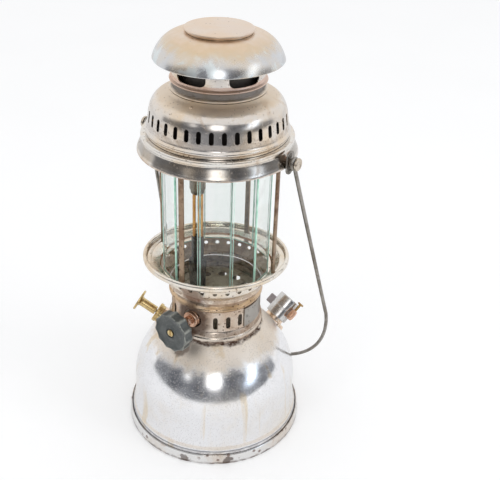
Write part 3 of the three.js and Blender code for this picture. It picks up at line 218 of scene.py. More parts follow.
# A flat outline raised in rows of inset, height; both ends are filled by a fan to the middle.
def prism(outline, rows):
    outline = np.asarray(outline, float)
    edge = np.roll(outline, -1, 0) - outline
    normal = np.stack([edge[:, 1], -edge[:, 0]], 1)
    normal /= np.maximum(np.hypot(*normal.T), 1e-9)[:, None]
    normal = normal + np.roll(normal, 1, 0)
    normal /= np.maximum(np.hypot(*normal.T), 1e-9)[:, None]
    middle = outline.mean(0)
    rings = [np.column_stack([outline - normal * inset, np.full(len(outline), height)]) for inset, height in rows]
    caps = [np.column_stack([np.tile(middle, (len(outline), 1)), np.full(len(outline), height)])
            for height in (rows[0][1], rows[-1][1])]
    points = np.concatenate([caps[0], *rings, caps[1]])
    return points, gridFaces(len(rows) + 2, len(outline), False, True)


# Rows of a prism with both edges rounded off by a quarter circle.
def easedRows(low, high, ease, steps=4):
    angle = np.linspace(0, math.pi / 2, steps)
    inset = ease * (1 - np.sin(angle))
    rise = ease * (1 - np.cos(angle))
    lower = list(zip(inset, low + rise))
    upper = list(zip(inset[::-1], high - rise[::-1]))
    return lower + upper


def ovalOutline(width, height, corner, steps=8):
    angle = np.linspace(0, math.pi / 2, steps)
    x, y = width / 2 - corner, height / 2 - corner
    parts = []
    for turn, (cx, cy) in enumerate([(x, y), (-x, y), (-x, -y), (x, -y)]):
        swing = angle + turn * math.pi / 2
        parts.append(np.stack([cx + corner * np.cos(swing), cy + corner * np.sin(swing)], 1))
    return np.concatenate(parts)


# A round section carried along a path that lies in one plane; the ends are closed by a small dome.
def carried(path, radius, planeNormal, sides=14, joined=False):
    path = np.asarray(path, float)
    along = np.roll(path, -1, 0) - np.roll(path, 1, 0) if joined else np.gradient(path, axis=0)
    along /= np.linalg.norm(along, axis=1)[:, None]
    level = np.asarray(planeNormal, float)
    aside = np.cross(along, level)
    size = np.full(len(path), radius)
    if not joined:
        ends = np.array([0.0, 0.55, 0.85]) * radius
        lead = np.array([0.5, 0.35, 0.15])[:, None] * radius
        path = np.concatenate([path[0] - along[0] * lead, path, path[-1] + along[-1] * lead[::-1]])
        aside = np.concatenate([np.tile(aside[0], (3, 1)), aside, np.tile(aside[-1], (3, 1))])
        size = np.concatenate([ends, size, ends[::-1]])
    angle = np.arange(sides) / sides * fullTurn
    ring = aside[:, None] * np.cos(angle)[None, :, None] + level * np.sin(angle)[None, :, None]
    points = path[:, None] + ring * size[:, None, None]
    return points.reshape(-1, 3), gridFaces(len(path), sides, joined, True)


def shifted(surface, x=0, y=0, z=0):
    return surface[0] + np.array([x, y, z]), surface[1]


def seated(surface, matrix):
    points = surface[0] @ np.array(matrix.to_3x3()).T + np.array(matrix.translation)
    return points, surface[1]


# The matrix whose +Z points outward at an azimuth, leaning over from upright by a tilt.
def aim(azimuth, tilt, reach, height):
    return (Matrix.Rotation(math.radians(azimuth), 4, "Z") @ Matrix.Translation((0, -reach, height))
            @ Matrix.Rotation(math.radians(tilt), 4, "X"))


# Closes the seams and poles of a mesh and turns its faces outwards.
def closeMesh(mesh):
    shaped = bmesh.new()
    shaped.from_mesh(mesh)
    bmesh.ops.remove_doubles(shaped, verts=shaped.verts, dist=2e-6)
    bmesh.ops.dissolve_degenerate(shaped, edges=shaped.edges, dist=1e-7)
    bmesh.ops.recalc_face_normals(shaped, faces=shaped.faces)
    shaped.to_mesh(mesh)
    shaped.free()


# Puts surfaces into one mesh, closes it, and hands the object to the frame. Below the height of a lining, faces
# that look towards the axis take the second finish.
def addPiece(name, surfaces, material, body, nodes, sharp=33, seat=None, extra=None, lining=None):
    mesh = bpy.data.meshes.new(name)
    points, faces, marks, count = [], [], [], 0
    for i, (spots, corners) in enumerate(surfaces):
        spots = seated((spots, corners), seat)[0] if seat else spots
        points.append(spots)
        rows = corners.tolist() if isinstance(corners, np.ndarray) else corners
        faces += [[corner + count for corner in row] for row in rows]
        marks += [extra[i] if extra else 0] * len(rows)
        count += len(spots)
    mesh.from_pydata(np.concatenate(points) * millimetre, [], faces)
    mesh.polygons.foreach_set("material_index", marks)
    mesh.update()
    closeMesh(mesh)
    if lining:
        middles, normals = np.zeros((2, len(mesh.polygons), 3))
        mesh.polygons.foreach_get("center", middles.reshape(-1))
        mesh.polygons.foreach_get("normal", normals.reshape(-1))
        inward = (middles[:, :2] * normals[:, :2]).sum(1) < -0.12 * np.hypot(*middles[:, :2].T)
        mesh.polygons.foreach_set("material_index", (inward & (middles[:, 2] < lining * millimetre)).astype(int))
    mesh.polygons.foreach_set("use_smooth", [True] * len(mesh.polygons))
    mesh.set_sharp_from_angle(angle=math.radians(sharp))
    piece = bpy.data.objects.new(name, mesh)
    bpy.context.collection.objects.link(piece)
    for finish in (material if isinstance(material, list) else [material]):
        mesh.materials.append(finish)
    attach(piece, body)
    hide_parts(*nodes)
    return piece


# Takes the room of a closed surface out of a piece, as where a tube passes through a wall.
def boreThrough(piece, surface, seat, sharp=33):
    mesh = bpy.data.meshes.new("borer")
    mesh.from_pydata(seated(surface, seat)[0] * millimetre, [], surface[1].tolist())
    closeMesh(mesh)
    borer = bpy.data.objects.new("borer", mesh)
    bpy.context.collection.objects.link(borer)
    cut = piece.modifiers.new("bore", "BOOLEAN")
    cut.object, cut.operation, cut.solver = borer, "DIFFERENCE", "EXACT"
    bored = piece.evaluated_get(bpy.context.evaluated_depsgraph_get())
    shape = bpy.data.meshes.new_from_object(bored)
    piece.modifiers.clear()
    piece.data = shape
    shape.polygons.foreach_set("use_smooth", [True] * len(shape.polygons))
    shape.set_sharp_from_angle(angle=math.radians(sharp))
    bpy.data.objects.remove(borer)


# Finishes

def tone(red, green, blue):
    share = np.array([red, green, blue]) / 255
    linear = np.where(share <= 0.04045, share / 12.92, ((share + 0.055) / 1.055) ** 2.4)
    return (*linear, 1.0)


# Another node's socket is linked, and a plain value is set on the input itself.
def feed(tree, node, inputs):
    for key, value in inputs.items():
        if isinstance(value, bpy.types.NodeSocket):
            tree.links.new(value, node.inputs[key])
        else:
            node.inputs[key].default_value = value
    return node


def addNode(tree, kind, inputs=None, **settings):
    made = tree.nodes.new(kind)
    for key, value in settings.items():
        setattr(made, key, value)
    return feed(tree, made, inputs or {})


def maths(tree, operation, first, second=0.0, clamped=False):
    return addNode(tree, "ShaderNodeMath", {0: first, 1: second}, operation=operation, use_clamp=clamped).outputs[0]


def blend(tree, factor, first, second, kind="MIX"):
    mixed = addNode(tree, "ShaderNodeMix", {0: factor, 6: first, 7: second}, data_type="RGBA", blend_type=kind)
    return mixed.outputs[2]


def spread(tree, value, low, high, toLow=0.0, toHigh=1.0):
    ranged = addNode(tree, "ShaderNodeMapRange", {"Value": value, "From Min": low, "From Max": high,
                                                  "To Min": toLow, "To Max": toHigh},
                     interpolation_type="SMOOTHSTEP")
    return ranged.outputs["Result"]


def newGroup(name, inputs, outputs):
    group = bpy.data.node_groups.new(name, "ShaderNodeTree")
    for socketName, kind, value in inputs:
        socket = group.interface.new_socket(socketName, in_out="INPUT", socket_type=kind)
        if value is not None:
            socket.default_value = value
    for socketName, kind in outputs:
        group.interface.new_socket(socketName, in_out="OUTPUT", socket_type=kind)
    return group, addNode(group, "NodeGroupInput").outputs, addNode(group, "NodeGroupOutput").inputs


number, point = "NodeSocketFloat", "NodeSocketVector"

# Cloudy patches with a soft edge, for tarnish and stain; on the lid they also place painted reflections.
patches, given, wanted = newGroup("cloudPatches", [("Vector", point, None), ("Scale", number, 20.0),
                                                     ("Start", number, 0.45), ("Full", number, 0.65),
                                                     ("Warp", number, 0.3)], [("Mask", number)])
cloud = addNode(patches, "ShaderNodeTexNoise", {"Vector": given["Vector"], "Scale": given["Scale"],
                                                "Detail": 6.0, "Roughness": 0.62, "Distortion": given["Warp"]})
patches.links.new(spread(patches, cloud.outputs["Fac"], given["Start"], given["Full"]), wanted["Mask"])

# Small pits and specks, thinned out by a coarser cloud.
specks, given, wanted = newGroup("surfaceSpecks", [("Vector", point, None), ("Scale", number, 300.0),
                                                   ("Size", number, 0.25), ("Cover", number, 0.5)],
                                 [("Mask", number)])
cells = addNode(specks, "ShaderNodeTexVoronoi", {"Vector": given["Vector"], "Scale": given["Scale"]})
thin = addNode(specks, "ShaderNodeTexNoise", {"Vector": given["Vector"], "Scale": 35.0, "Detail": 3.0})
dots = spread(specks, cells.outputs["Distance"], given["Size"], maths(specks, "MULTIPLY", given["Size"], 0.5))
kept = spread(specks, thin.outputs["Fac"], given["Cover"], maths(specks, "ADD", given["Cover"], 0.12))
specks.links.new(maths(specks, "MULTIPLY", dots, kept), wanted["Mask"])

# Runs that water has left down a wall: a cloud stretched upright.
runs, given, wanted = newGroup("waterRuns", [("Vector", point, None), ("Scale", number, 60.0),
                                             ("Start", number, 0.56), ("Full", number, 0.68)], [("Mask", number)])
pulled = addNode(runs, "ShaderNodeMapping", {"Vector": given["Vector"], "Scale": (1.0, 1.0, 0.045)})
streaks = addNode(runs, "ShaderNodeTexNoise", {"Vector": pulled.outputs[0], "Scale": given["Scale"], "Detail": 4.0})
runs.links.new(spread(runs, streaks.outputs["Fac"], given["Start"], given["Full"]), wanted["Mask"])

# A level band between two heights, its edges frayed by a cloud.
frayedBand, given, wanted = newGroup("frayedBand", [("Vector", point, None), ("Low", number, 0.0),
                                                    ("High", number, 0.1), ("Fade", number, 0.002),
                                                    ("Fray", number, 0.004)], [("Mask", number)])
parts = addNode(frayedBand, "ShaderNodeSeparateXYZ", {"Vector": given["Vector"]})
ragged = addNode(frayedBand, "ShaderNodeTexNoise", {"Vector": given["Vector"], "Scale": 140.0, "Detail": 5.0})
offset = maths(frayedBand, "MULTIPLY", maths(frayedBand, "SUBTRACT", ragged.outputs["Fac"], 0.5), given["Fray"])
level = maths(frayedBand, "ADD", parts.outputs["Z"], offset)
rise = spread(frayedBand, level, given["Low"], maths(frayedBand, "ADD", given["Low"], given["Fade"]))
fall = spread(frayedBand, level, given["High"], maths(frayedBand, "ADD", given["High"], given["Fade"]), 1.0, 0.0)
frayedBand.links.new(maths(frayedBand, "MULTIPLY", rise, fall), wanted["Mask"])

# A frayed blot round one spot.
frayedBlot, given, wanted = newGroup("frayedBlot", [("Vector", point, None), ("Centre", point, None),
                                                    ("Reach", number, 0.01), ("Fade", number, 0.004)],
                                     [("Mask", number)])
away = addNode(frayedBlot, "ShaderNodeVectorMath", {0: given["Vector"], 1: given["Centre"]}, operation="DISTANCE")
ragged = addNode(frayedBlot, "ShaderNodeTexNoise", {"Vector": given["Vector"], "Scale": 150.0, "Detail": 5.0})
torn = maths(frayedBlot, "MULTIPLY", maths(frayedBlot, "SUBTRACT", ragged.outputs["Fac"], 0.5), 0.012)
distance = maths(frayedBlot, "ADD", away.outputs["Value"], torn)
outside = maths(frayedBlot, "ADD", given["Reach"], given["Fade"])
frayedBlot.links.new(spread(frayedBlot, distance, given["Reach"], outside, 1.0, 0.0), wanted["Mask"])


def useGroup(tree, group, inputs):
    return addNode(tree, "ShaderNodeGroup", inputs, node_tree=group).outputs[0]


def newMaterial(name):
    material = bpy.data.materials.new(name)
    material.use_nodes = True
    tree = material.node_tree
    shader = tree.nodes["Principled BSDF"]
    return material, tree, shader, addNode(tree, "ShaderNodeTexCoord").outputs["Object"]


# Scales are per metre; amounts, starts and roughness are shares; a finish overrides what it needs.
usualMetal = dict(
    hazeScale=22.0, hazeStart=0.42, hazeFull=0.66, hazeRough=0.08, stainAndReflectionScale=75.0, stainAndReflectionStart=0.56, stainAndReflectionFull=0.72,
    stainAndReflectionWarp=1.2, stainAndReflectionAmount=0.5, stainAndReflectionRough=0.1, runScale=60.0, runRough=0.15, zones=[], zoneRough=0.0,
    speckScale=320.0, speckSize=0.22, speckAmount=0.8, bands=[], bandScale=180.0, bandStart=0.3, bandFull=0.6,
    blots=[], blotFade=0.6, blotBare=0.8, bareRough=0.5, bareDull=0.9, metal=1.0, grainScale=900.0, grainRough=0.18,
    grain=0.25, dentScale=55.0, dents=1.6, proud=0.35, bump=0.35, depth=0.0002)


# Old plated or bare metal: a clean tone under haze, a second cloud, runs, zones, specks, rust bands and blots. The
# second cloud is stain, but on the lid it is a painted reflection; most zones are tarnish, but on the tank and ring
# some are painted dark reflections and on the hood one is painted shade. A zone fades over most of the width that it
# frays.
def agedMetal(name, own):
    look = {**usualMetal, **own}
    material, tree, shader, vector = newMaterial(name)
    times = lambda first, second: maths(tree, "MULTIPLY", first, second)
    plus = lambda first, second: maths(tree, "ADD", first, second)
    haze = useGroup(tree, patches, {"Vector": vector, "Scale": look["hazeScale"], "Start": look["hazeStart"],
                                    "Full": look["hazeFull"]})
    base = blend(tree, haze, look["clean"], look["haze"])
    stainAndReflection = useGroup(tree, patches, {"Vector": vector, "Scale": look["stainAndReflectionScale"], "Start": look["stainAndReflectionStart"],
                                     "Full": look["stainAndReflectionFull"], "Warp": look["stainAndReflectionWarp"]})
    base = blend(tree, times(stainAndReflection, look["stainAndReflectionAmount"]), base, look["stainAndReflection"])
    rough = plus(times(haze, look["hazeRough"]), look["rough"])
    rough = plus(rough, times(stainAndReflection, look["stainAndReflectionRough"]))
    if "runs" in look:
        streak = times(useGroup(tree, runs, {"Vector": vector, "Scale": look["runScale"]}), look["runs"])
        base = blend(tree, streak, base, look["runTone"])
        rough = plus(rough, times(streak, look["runRough"]))
    for low, high, amount, fray, shade in look["zones"]:
        zone = times(useGroup(tree, frayedBand, {
            "Vector": vector, "Low": low * millimetre, "High": high * millimetre,
            "Fade": max(0.5, 0.8 * fray) * millimetre, "Fray": fray * millimetre}), amount)
        base = blend(tree, zone, base, shade)
        rough = plus(rough, times(zone, look["zoneRough"]))
    bare = 0.0
    if "specks" in look:
        bare = times(useGroup(tree, specks, {"Vector": vector, "Scale": look["speckScale"], "Size": look["speckSize"],
                                             "Cover": look["specks"]}), look["speckAmount"])
        base = blend(tree, bare, base, look["speckTone"])
    for low, high, amount, fray in look["bands"]:
        band = useGroup(tree, frayedBand, {"Vector": vector, "Low": low * millimetre, "High": high * millimetre,
                                           "Fray": fray * millimetre})
        broken = useGroup(tree, patches, {"Vector": vector, "Scale": look["bandScale"], "Start": look["bandStart"],
                                          "Full": look["bandFull"]})
        band = times(times(band, broken), amount)
        base = blend(tree, band, base, look["rust"])
        bare = maths(tree, "MAXIMUM", bare, band)
    for x, y, z, reach, amount in look["blots"]:
        blot = times(useGroup(tree, frayedBlot, {
            "Vector": vector, "Centre": (x * millimetre, y * millimetre, z * millimetre),
            "Reach": reach * millimetre, "Fade": reach * look["blotFade"] * millimetre}), amount)
        base = blend(tree, blot, base, look.get("blotTone", look.get("rust")))
        bare = maths(tree, "MAXIMUM", bare, times(blot, look["blotBare"]))
    grain = addNode(tree, "ShaderNodeTexNoise", {"Vector": vector, "Scale": look["grainScale"], "Detail": 4.0,
                                                 "Roughness": 0.7}).outputs["Fac"]
    dent = addNode(tree, "ShaderNodeTexNoise", {"Vector": vector, "Scale": look["dentScale"],
                                                "Detail": 2.0}).outputs["Fac"]
    rough = plus(rough, times(maths(tree, "SUBTRACT", grain, 0.5), look["grainRough"]))
    rough = maths(tree, "ADD", rough, times(bare, look["bareRough"]), clamped=True)
    height = plus(plus(times(grain, look["grain"]), times(dent, look["dents"])), times(bare, look["proud"]))
    bump = addNode(tree, "ShaderNodeBump", {"Height": height, "Strength": look["bump"], "Distance": look["depth"]})
    metal = look["metal"]
    if isinstance(bare, bpy.types.NodeSocket):
        metal = maths(tree, "SUBTRACT", metal, times(bare, look["bareDull"]), True)
    feed(tree, shader, {"Base Color": base, "Roughness": rough, "Metallic": metal, "Normal": bump.outputs["Normal"]})
    return material


rustTone = tone(66, 42, 28)
spindleSpot = (-21.7, -36.2, 136)

tankFinish = agedMetal("tankNickel", dict(
    clean=tone(238, 238, 240), haze=tone(232, 226, 218), stainAndReflection=tone(216, 192, 164), rough=0.13,
    hazeStart=0.45, hazeFull=0.8, stainAndReflectionAmount=0.3, stainAndReflectionStart=0.6, stainAndReflectionFull=0.8,
    runs=0.5, runTone=tone(222, 198, 152), runScale=75.0, zoneRough=0.5,
    # The first zone, a grey-blue line just above the pan, is a painted dark reflection of the pan rim in the tank's
    # flare.
    zones=[(12.6, 13.4, 0.75, 0.4, tone(104, 110, 124)), (13.9, 17.5, 0.35, 2.0, tone(226, 204, 172)),
           (88.0, 118.0, 0.6, 14.0, tone(220, 202, 178))],
    specks=0.32, speckTone=tone(128, 122, 120), speckScale=820.0, speckSize=0.3, speckAmount=0.6,
    bands=[(109.5, 113.5, 1.0, 5.0), (10.5, 12.0, 0.5, 2.5)], rust=rustTone,
    blots=[(-33, -42, 109, 8, 0.7)], dents=2.2, dentScale=38.0, grain=0.5, grainScale=620.0))
panFinish = agedMetal("panNickel", dict(
    clean=tone(234, 233, 232), haze=tone(222, 212, 202), stainAndReflection=tone(186, 156, 128), rough=0.14,
    stainAndReflectionAmount=0.5, specks=0.42, speckTone=tone(96, 62, 44), speckScale=120.0, speckSize=0.3,
    bands=[(-1, 1.4, 0.85, 3.5), (9.6, 10.6, 0.5, 1.5)], rust=rustTone,
    blots=[(14, -86, 3, 3, 0.8), (-28, -82, 3, 3.5, 0.7)]))
hoodFinish = agedMetal("hoodNickel", dict(
    clean=tone(218, 212, 206), haze=tone(224, 204, 178), stainAndReflection=tone(184, 154, 122), rough=0.17,
    hazeScale=16.0, hazeStart=0.44, hazeFull=0.7, stainAndReflectionAmount=0.4, stainAndReflectionScale=60.0,
    # The second zone, dark grey in the neck's recess between its beads, is painted shade.
    zones=[(340.0, 349.0, 0.6, 5.0, tone(228, 208, 182)), (350.6, 355.8, 0.75, 1.5, tone(104, 98, 94)),
           (356.2, 361.0, 0.55, 1.5, tone(230, 190, 168))], zoneRough=0.5,
    specks=0.42, speckTone=tone(104, 88, 74), speckScale=330.0, speckSize=0.2, speckAmount=0.7,
    bands=[(316.0, 320.5, 0.35, 4.0)], rust=tone(110, 84, 62), grain=0.35))
lidFinish = agedMetal("lidNickel", dict(
    # On the lid the second cloud is no stain: its pale cyan blots are painted reflections.
    clean=tone(206, 208, 212), haze=tone(218, 206, 190), stainAndReflection=tone(226, 236, 238), rough=0.2,
    hazeScale=14.0, hazeStart=0.42, hazeFull=0.66, stainAndReflectionAmount=0.6, stainAndReflectionScale=40.0, stainAndReflectionStart=0.54, stainAndReflectionFull=0.64,
    zones=[(387.5, 402.0, 0.6, 9.0, tone(232, 204, 176)), (382.5, 388.5, 0.5, 12.0, tone(216, 184, 132))],
    zoneRough=0.15,
    specks=0.48, speckTone=tone(112, 92, 78), speckScale=170.0, speckSize=0.14, speckAmount=0.6, grain=0.3))
ringFinish = agedMetal("ringNickel", dict(
    clean=tone(224, 220, 214), haze=tone(220, 204, 184), stainAndReflection=tone(176, 146, 116), rough=0.15,
    stainAndReflectionAmount=0.35, specks=0.40, speckTone=tone(84, 70, 58), speckScale=300.0, speckSize=0.24,
    # The zone, a dark band over the skirt's slope, is a painted dark reflection of the room.
    zones=[(296.4, 303.5, 0.5, 2.5, tone(128, 118, 108))],
    bands=[(292.0, 294.2, 0.5, 2.5)], rust=tone(150, 96, 50), blots=[(54, -30, 296, 6, 0.75)],
    blotTone=tone(206, 126, 52)))
galleryFinish = agedMetal("galleryNickel", dict(
    clean=tone(232, 226, 216), haze=tone(226, 208, 184), stainAndReflection=tone(168, 136, 106), rough=0.2,
    stainAndReflectionAmount=0.5, specks=0.42, speckTone=tone(104, 78, 58), speckScale=220.0, speckSize=0.22,
    bands=[(158.0, 163.0, 0.5, 8.0)], rust=tone(122, 76, 46), blots=[(-22, -42, 166, 8, 0.6)]))
wellFinish = agedMetal("wellRust", dict(
    clean=tone(196, 182, 160), haze=tone(214, 202, 182), stainAndReflection=tone(140, 112, 84), rough=0.5, metal=0.2,
    stainAndReflectionAmount=0.8, stainAndReflectionStart=0.42, stainAndReflectionFull=0.7, specks=0.4, speckTone=tone(78, 58, 44),
    speckScale=200.0, speckSize=0.3, grain=0.6))
cupLining = agedMetal("galleryRust", dict(
    clean=tone(168, 140, 112), haze=tone(190, 166, 138), stainAndReflection=tone(124, 84, 56), rough=0.5, metal=0.25,
    stainAndReflectionAmount=0.85, stainAndReflectionStart=0.4, stainAndReflectionFull=0.7, specks=0.38, speckTone=tone(84, 58, 40), speckScale=220.0,
    speckSize=0.3, bands=[(173.5, 177.5, 0.8, 3.0)], rust=tone(178, 104, 52), grain=0.7))
sheetLining = agedMetal("dullInside", dict(
    clean=tone(132, 114, 98), haze=tone(152, 132, 114), stainAndReflection=tone(84, 62, 46), rough=0.5, metal=0.3, stainAndReflectionAmount=0.8,
    stainAndReflectionStart=0.42, specks=0.4, speckTone=tone(52, 38, 30), speckScale=220.0, speckSize=0.3, grain=0.6))
collarFinish = agedMetal("collarNickel", dict(
    clean=tone(206, 192, 178), haze=tone(190, 162, 136), stainAndReflection=tone(128, 98, 74), rough=0.22,
    stainAndReflectionAmount=0.65, stainAndReflectionStart=0.48, specks=0.38, speckTone=tone(80, 58, 42), speckScale=230.0, speckSize=0.25,
    zones=[(146.8, 152.6, 0.4, 2.5, tone(206, 172, 124)), (115.0, 119.6, 0.35, 1.5, tone(232, 226, 214))],
    bands=[(110.0, 114.8, 1.0, 4.0), (119.4, 122.6, 0.4, 3.0), (152.6, 158.6, 0.35, 4.0)], rust=rustTone,
    blots=[(*spindleSpot, 13, 0.85), (-30, -36, 118, 9, 0.8)], blotTone=tone(84, 62, 48)))
doorFinish = agedMetal("doorNickel", dict(
    clean=tone(172, 168, 162), haze=tone(152, 144, 136), stainAndReflection=tone(112, 98, 86), rough=0.34,
    stainAndReflectionAmount=0.6, specks=0.35, speckTone=tone(74, 60, 50), speckScale=260.0, speckSize=0.26))
uprightFinish = agedMetal("uprightRust", dict(
    clean=tone(158, 136, 114), haze=tone(134, 106, 84), stainAndReflection=tone(92, 64, 44), rough=0.36, metal=0.7,
    stainAndReflectionAmount=0.8, stainAndReflectionStart=0.46, specks=0.38, speckTone=tone(64, 44, 32), speckScale=300.0, speckSize=0.3,
    runs=0.5, runTone=tone(190, 168, 140), grain=0.7))
brassFinish = agedMetal("oldBrass", dict(
    clean=tone(214, 192, 142), haze=tone(198, 168, 116), stainAndReflection=tone(136, 106, 68), rough=0.22,
    hazeScale=60.0, stainAndReflectionAmount=0.6, stainAndReflectionScale=160.0, specks=0.46, speckTone=tone(90, 68, 46), speckScale=500.0,
    grain=0.4))
tubeFinish = agedMetal("heatedBrass", dict(
    clean=tone(212, 158, 84), haze=tone(178, 120, 56), stainAndReflection=tone(110, 76, 44), rough=0.26,
    hazeScale=70.0, stainAndReflectionAmount=0.7, stainAndReflectionScale=120.0, grain=0.4))
peachFinish = agedMetal("barrelNickel", dict(
    clean=tone(234, 212, 190), haze=tone(226, 194, 164), stainAndReflection=tone(180, 140, 104), rough=0.2,
    hazeScale=60.0, stainAndReflectionAmount=0.5, stainAndReflectionScale=130.0))
copperFinish = agedMetal("copperBoss", dict(
    clean=tone(218, 182, 158), haze=tone(196, 150, 122), stainAndReflection=tone(124, 84, 62), rough=0.24,
    hazeScale=70.0, stainAndReflectionAmount=0.6, stainAndReflectionScale=150.0, specks=0.44, speckTone=tone(76, 50, 38), speckScale=480.0))
elbowFinish = agedMetal("elbowCopper", dict(
    clean=tone(226, 188, 164), haze=tone(208, 162, 134), stainAndReflection=tone(150, 104, 80), rough=0.26,
    hazeScale=80.0, stainAndReflectionAmount=0.5, stainAndReflectionScale=160.0))
screwFinish = agedMetal("screwBrass", dict(
    clean=tone(176, 142, 92), haze=tone(150, 114, 70), stainAndReflection=tone(104, 74, 46), rough=0.3,
    hazeScale=80.0, stainAndReflectionAmount=0.7, stainAndReflectionScale=180.0, grain=0.5))
capFinish = agedMetal("capNickel", dict(
    clean=tone(208, 206, 204), haze=tone(184, 178, 172), stainAndReflection=tone(146, 126, 104), rough=0.2,
    hazeScale=60.0, stainAndReflectionAmount=0.55, stainAndReflectionScale=140.0, specks=0.44, speckTone=tone(110, 90, 72), speckScale=420.0))
wingFinish = agedMetal("wingNickel", dict(
    clean=tone(150, 142, 142), haze=tone(132, 122, 122), stainAndReflection=tone(104, 88, 80), rough=0.46, metal=0.6,
    hazeScale=80.0, stainAndReflectionAmount=0.6, stainAndReflectionScale=160.0, grain=0.6))
steelFinish = agedMetal("wireSteel", dict(
    clean=tone(156, 152, 146), haze=tone(128, 122, 114), stainAndReflection=tone(92, 78, 66), rough=0.3,
    hazeScale=70.0, stainAndReflectionAmount=0.6, stainAndReflectionScale=160.0, specks=0.42, speckTone=tone(70, 54, 44), speckScale=420.0,
    grain=0.5))
pinFinish = agedMetal("pinNickel", dict(
    clean=tone(206, 196, 182), haze=tone(186, 170, 150), stainAndReflection=tone(134, 112, 88), rough=0.26,
    hazeScale=70.0, stainAndReflectionAmount=0.5, stainAndReflectionScale=160.0))
sootFinish = agedMetal("sootyMetal", dict(
    clean=tone(72, 68, 64), haze=tone(54, 49, 45), stainAndReflection=tone(104, 84, 66), rough=0.5, metal=0.5,
    hazeScale=60.0, stainAndReflectionAmount=0.6, stainAndReflectionScale=110.0, grain=0.8))
crownFinish = agedMetal("crownMetal", dict(
    clean=tone(142, 130, 112), haze=tone(112, 100, 84), stainAndReflection=tone(70, 58, 48), rough=0.42, metal=0.6,
    hazeScale=60.0, stainAndReflectionAmount=0.7, stainAndReflectionScale=90.0, grain=0.8))
casingFinish = agedMetal("casingSoot", dict(
    clean=tone(66, 61, 58), haze=tone(44, 40, 38), stainAndReflection=tone(112, 90, 72), rough=0.5, metal=0.5,
    stainAndReflectionAmount=0.7, stainAndReflectionScale=70.0, grain=0.8))
innerFinish = agedMetal("burnerNickel", dict(
    clean=tone(168, 160, 148), haze=tone(132, 120, 106), stainAndReflection=tone(88, 72, 58), rough=0.34,
    hazeScale=50.0, stainAndReflectionAmount=0.6, stainAndReflectionScale=120.0))


usualDull = dict(scale=90.0, speckScale=700.0, speckSize=0.3, cover=0.42, speckAmount=0.5, chafeScale=260.0,
                 grainScale=1400.0, roughSwing=0.12, bump=0.4, depth=0.0002)


# A dull moulded surface: wheel, gasket, leather and clay. The mesh's wear attribute says where an edge is chafed.
def dullSurface(name, own):
    look = {**usualDull, **own}
    material, tree, shader, vector = newMaterial(name)
    cloudy = useGroup(tree, patches, {"Vector": vector, "Scale": look["scale"], "Start": 0.35, "Full": 0.7})
    base = blend(tree, cloudy, look["base"], look["worn"])
    dots = useGroup(tree, specks, {"Vector": vector, "Scale": look["speckScale"], "Size": look["speckSize"],
                                   "Cover": look["cover"]})
    base = blend(tree, maths(tree, "MULTIPLY", dots, look["speckAmount"]), base, look["speck"])
    if "edge" in look:
        worn = addNode(tree, "ShaderNodeAttribute", attribute_name="wear").outputs["Fac"]
        chafed = useGroup(tree, patches, {"Vector": vector, "Scale": look["chafeScale"], "Start": 0.3, "Full": 0.62})
        base = blend(tree, maths(tree, "MULTIPLY", worn, chafed), base, look["edge"])
    grain = addNode(tree, "ShaderNodeTexNoise", {"Vector": vector, "Scale": look["grainScale"], "Detail": 5.0,
                                                 "Roughness": 0.7}).outputs["Fac"]
    rough = spread(tree, grain, 0.25, 0.75, look["rough"] - look["roughSwing"], look["rough"] + look["roughSwing"])
    bump = addNode(tree, "ShaderNodeBump", {"Height": grain, "Strength": look["bump"], "Distance": look["depth"]})
    feed(tree, shader, {"Base Color": base, "Roughness": rough, "Normal": bump.outputs["Normal"]})
    return material


wheelFinish = dullSurface("wheelMoulding", dict(
    base=tone(56, 60, 60), worn=tone(76, 80, 79), speck=tone(128, 128, 122), edge=tone(166, 168, 160), rough=0.42))
rubberFinish = dullSurface("gasketRubber", dict(
    base=tone(40, 38, 36), worn=tone(58, 54, 50), speck=tone(90, 84, 76), rough=0.75))
leatherFinish = dullSurface("cupLeather", dict(
    base=tone(94, 66, 44), worn=tone(120, 88, 60), speck=tone(60, 42, 30), rough=0.8))
clayFinish = dullSurface("burnerClay", dict(
    base=tone(226, 220, 206), worn=tone(202, 188, 166), speck=tone(150, 132, 112), rough=0.9, depth=0.0005))
dialFinish = dullSurface("dialEnamel", dict(
    base=tone(236, 233, 224), worn=tone(222, 214, 198), speck=tone(170, 156, 136), rough=0.35, bump=0.1, cover=0.55))
markFinish = dullSurface("dialMarks", dict(
    base=tone(34, 34, 36), worn=tone(52, 50, 50), speck=tone(90, 86, 80), rough=0.6, bump=0.1))


# Sheet glass with dust that dulls its polish in places.
def glassFinish(name, tint, rough, dusty):
    material, tree, shader, vector = newMaterial(name)
    dust = useGroup(tree, runs, {"Vector": vector, "Scale": 70.0, "Start": 0.45, "Full": 0.75})
    feed(tree, shader, {"Base Color": blend(tree, dust, tint, dusty), "IOR": 1.46, "Transmission Weight": 1.0,
                        "Roughness": spread(tree, dust, 0.0, 1.0, rough, rough + 0.06), "Specular IOR Level": 0.3})
    return material


# The ground edge of a pane: pale green and opaque.
def groundEdge(name):
    material, tree, shader, vector = newMaterial(name)
    cloud = useGroup(tree, patches, {"Vector": vector, "Scale": 120.0, "Start": 0.35, "Full": 0.65})
    feed(tree, shader, {"Base Color": blend(tree, cloud, tone(224, 250, 238), tone(178, 226, 206)), "IOR": 1.46,
                        "Roughness": spread(tree, cloud, 0.0, 1.0, 0.3, 0.5)})
    return material


paneFinish = glassFinish("paneGlass", tone(253, 255, 254), 0.01, tone(247, 252, 250))
lensFinish = glassFinish("lensGlass", tone(248, 250, 248), 0.03, tone(238, 240, 236))
edgeFinish = groundEdge("groundEdge")
print("finishes made:", len(bpy.data.materials))


# Tank and foot pan

